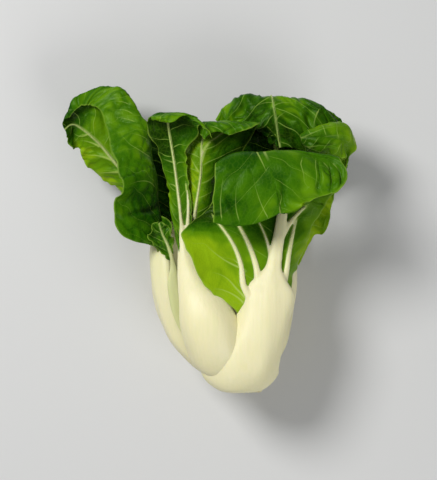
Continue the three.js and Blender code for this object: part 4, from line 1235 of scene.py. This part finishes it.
# ---------------------------------------------------------------------------------------
# Back left leaf: the head lies on its broad white stalk too. Its puckered green blade is
# spread under the others.
add_leaf(
    "back_left", 71,
    spine=[
        [13, -79, 31], [8, -77, 20.5], [-5, -65, 10.8], [-16, -48, 6.2], [-20, -28, 5.7],
        [-18.5, -8, 7], [-17, 14, 10], [-22, 34, 14], [-27, 50, 14], [-30, 61, 9],
        [-31, 67, 3],
    ],
    across=[
        [0, -0.98, 0, 0.2], [2, -0.94, 0, 0.34], [4, -0.94, 0, 0.34], [6, -1, 0, 0],
        [10, -1, 0, 0],
    ],
    half_width=[
        [0, 10], [1, 21.5], [2, 29], [3, 30.5], [4, 27.5], [5, 17], [6, 7], [7, 3.4],
        [9, 2], [10, 0.8],
    ],
    cup=[[0, 70], [1, 92], [2, 98], [3, 95], [4, 78], [5, 48], [6, 16], [8, 0], [10, 0]],
    plus=[
        [5.4, -24, 2, 12], [6.2, -36, 18, 18], [7, -48, 34, 21], [8, -56, 52, 20],
        [9, -50, 66, 12], [10, -42, 71, 4],
    ],
    minus=[
        [5.4, 0, 2, 12], [6.2, 4, 18, 18], [7, 7, 34, 20], [8, 8, 52, 20], [9, 2, 66, 13],
        [10, -18, 72, 4],
    ],
    wave=[[0, 0], [6, 0.8], [10, 1.4]],
    # the whole blade is painted dark as shade under the leaves above it
    tone=[[5.4, 0.15, 0.15, 0.15], [10, 0.25, 0.25, 0.25]],
    green=[[0, 0], [5, 0.25], [8, 0.7], [10, 1]],
    line=[[5.4, 1], [10, 0.8]],
    pucker=[[5.4, 0.6], [10, 0.7]],
    spacing=10, cell=6, frill=0.8, faint=0.4, crease=0.2, folds=0.7, grid=(90, 36),
    voxel=0.6,
)

# ---------------------------------------------------------------------------------------
# Small leaf: a young crumpled leaf that comes out between the left and front left leaves.
# Its thin stalk grew close to the heart of the head, so only its green tip is seen.
add_leaf(
    "small", 83,
    spine=[
        [13, -76, 42], [-3, -68, 47], [-13.4, -57, 50.5], [-19.2, -43, 52],
        [-21.6, -28, 53], [-22.4, -15, 55.5], [-25, -5, 59.5], [-28.5, 3, 62.5],
        [-30.5, 9.5, 65],
    ],
    half_width=[[0, 6], [1, 8], [2, 7.5], [3, 6], [4, 4.5], [5, 1.8], [6, 1.1], [8, 0.5]],
    cup=[[0, 60], [2, 50], [4, 20], [6, 0]],
    plus=[
        [5.2, -22.5, -12, 56], [5.8, -22, -6.5, 59], [6.4, -22.5, -1, 62],
        [7, -23, 3.5, 64], [7.5, -25, 7.5, 65], [8, -29.5, 10.5, 65],
    ],
    minus=[
        [5.2, -25.5, -11.5, 57], [5.8, -31, -6, 60], [6.4, -35.5, -1, 63],
        [7, -37, 3.5, 66], [7.5, -35.5, 7.5, 66.5], [8, -31, 10.5, 65],
    ],
    wave=[[0, 0], [4.5, 0.6], [8, 1.5]],
    tone=[[5.2, 0.45, 0.35, 0.45], [6.3, 0.36, 0.3, 0.36], [8, 0.4, 0.36, 0.4]],
    green=[[0, 0.34], [2, 0.52], [3.5, 0.6], [5, 0.62], [8, 0.95]],
    line=[[5.2, 1], [8, 0.7]],
    pucker=[[5.2, 0.8], [8, 1]],
    rate=1.1, spacing=6, cell=3.2, frill=1.5, faint=0.3, crease=0.3, folds=0.8,
    grid=(80, 40),
)

# ---------------------------------------------------------------------------------------
# Studio: a plain pale floor under the head, one large soft light from the upper left, a
# weaker one from the lower right and an even sky.
bpy.ops.mesh.primitive_plane_add(size=6, location=(0, 0, 0))
floor = bpy.context.object
floor.name = "studio_floor"
pale_floor, tree, shader = new_material("studio_floor")
shader.inputs["Base Color"].default_value = (0.62, 0.62, 0.61, 1)
shader.inputs["Roughness"].default_value = 0.9
floor.data.materials.append(pale_floor)


def area_light(name, place, size, power):
    """A soft round light turned toward the middle of the head."""
    data = bpy.data.lights.new(name, "AREA")
    data.shape = "DISK"
    data.size = size
    data.energy = power
    lamp = bpy.data.objects.new(name, data)
    lamp.location = place
    way = Vector((0, 0, 0.04)) - Vector(place)
    lamp.rotation_euler = way.to_track_quat("-Z", "Y").to_euler()
    bpy.context.scene.collection.objects.link(lamp)


area_light("key_light", (-0.62, 0.52, 1.05), size=0.5, power=14.5)
area_light("fill_light", (0.62, -0.78, 0.85), size=0.8, power=6.0)
world = bpy.data.worlds.new("studio")
bpy.context.scene.world = world
world.use_nodes = True
sky = world.node_tree.nodes["Background"].inputs
sky["Color"].default_value = (0.95, 0.97, 1.0, 1)
sky["Strength"].default_value = 0.22

# ---------------------------------------------------------------------------------------
# Camera: straight above the head, its top toward the leaf tips. The lens is long, so the
# leaves that stand highest look hardly larger than the ones below.
camera_data = bpy.data.cameras.new("camera")
camera_data.type = "PERSP"
camera_data.sensor_fit = "HORIZONTAL"
camera_data.sensor_width = 36
camera_data.lens = 171.6
camera = bpy.data.objects.new("camera", camera_data)
camera.location = (0.006171, -0.000586, 1.2888)
camera.rotation_euler = (0, 0, 0)
bpy.context.scene.collection.objects.link(camera)
bpy.context.scene.camera = camera
bpy.context.scene.view_settings.view_transform = "Standard"
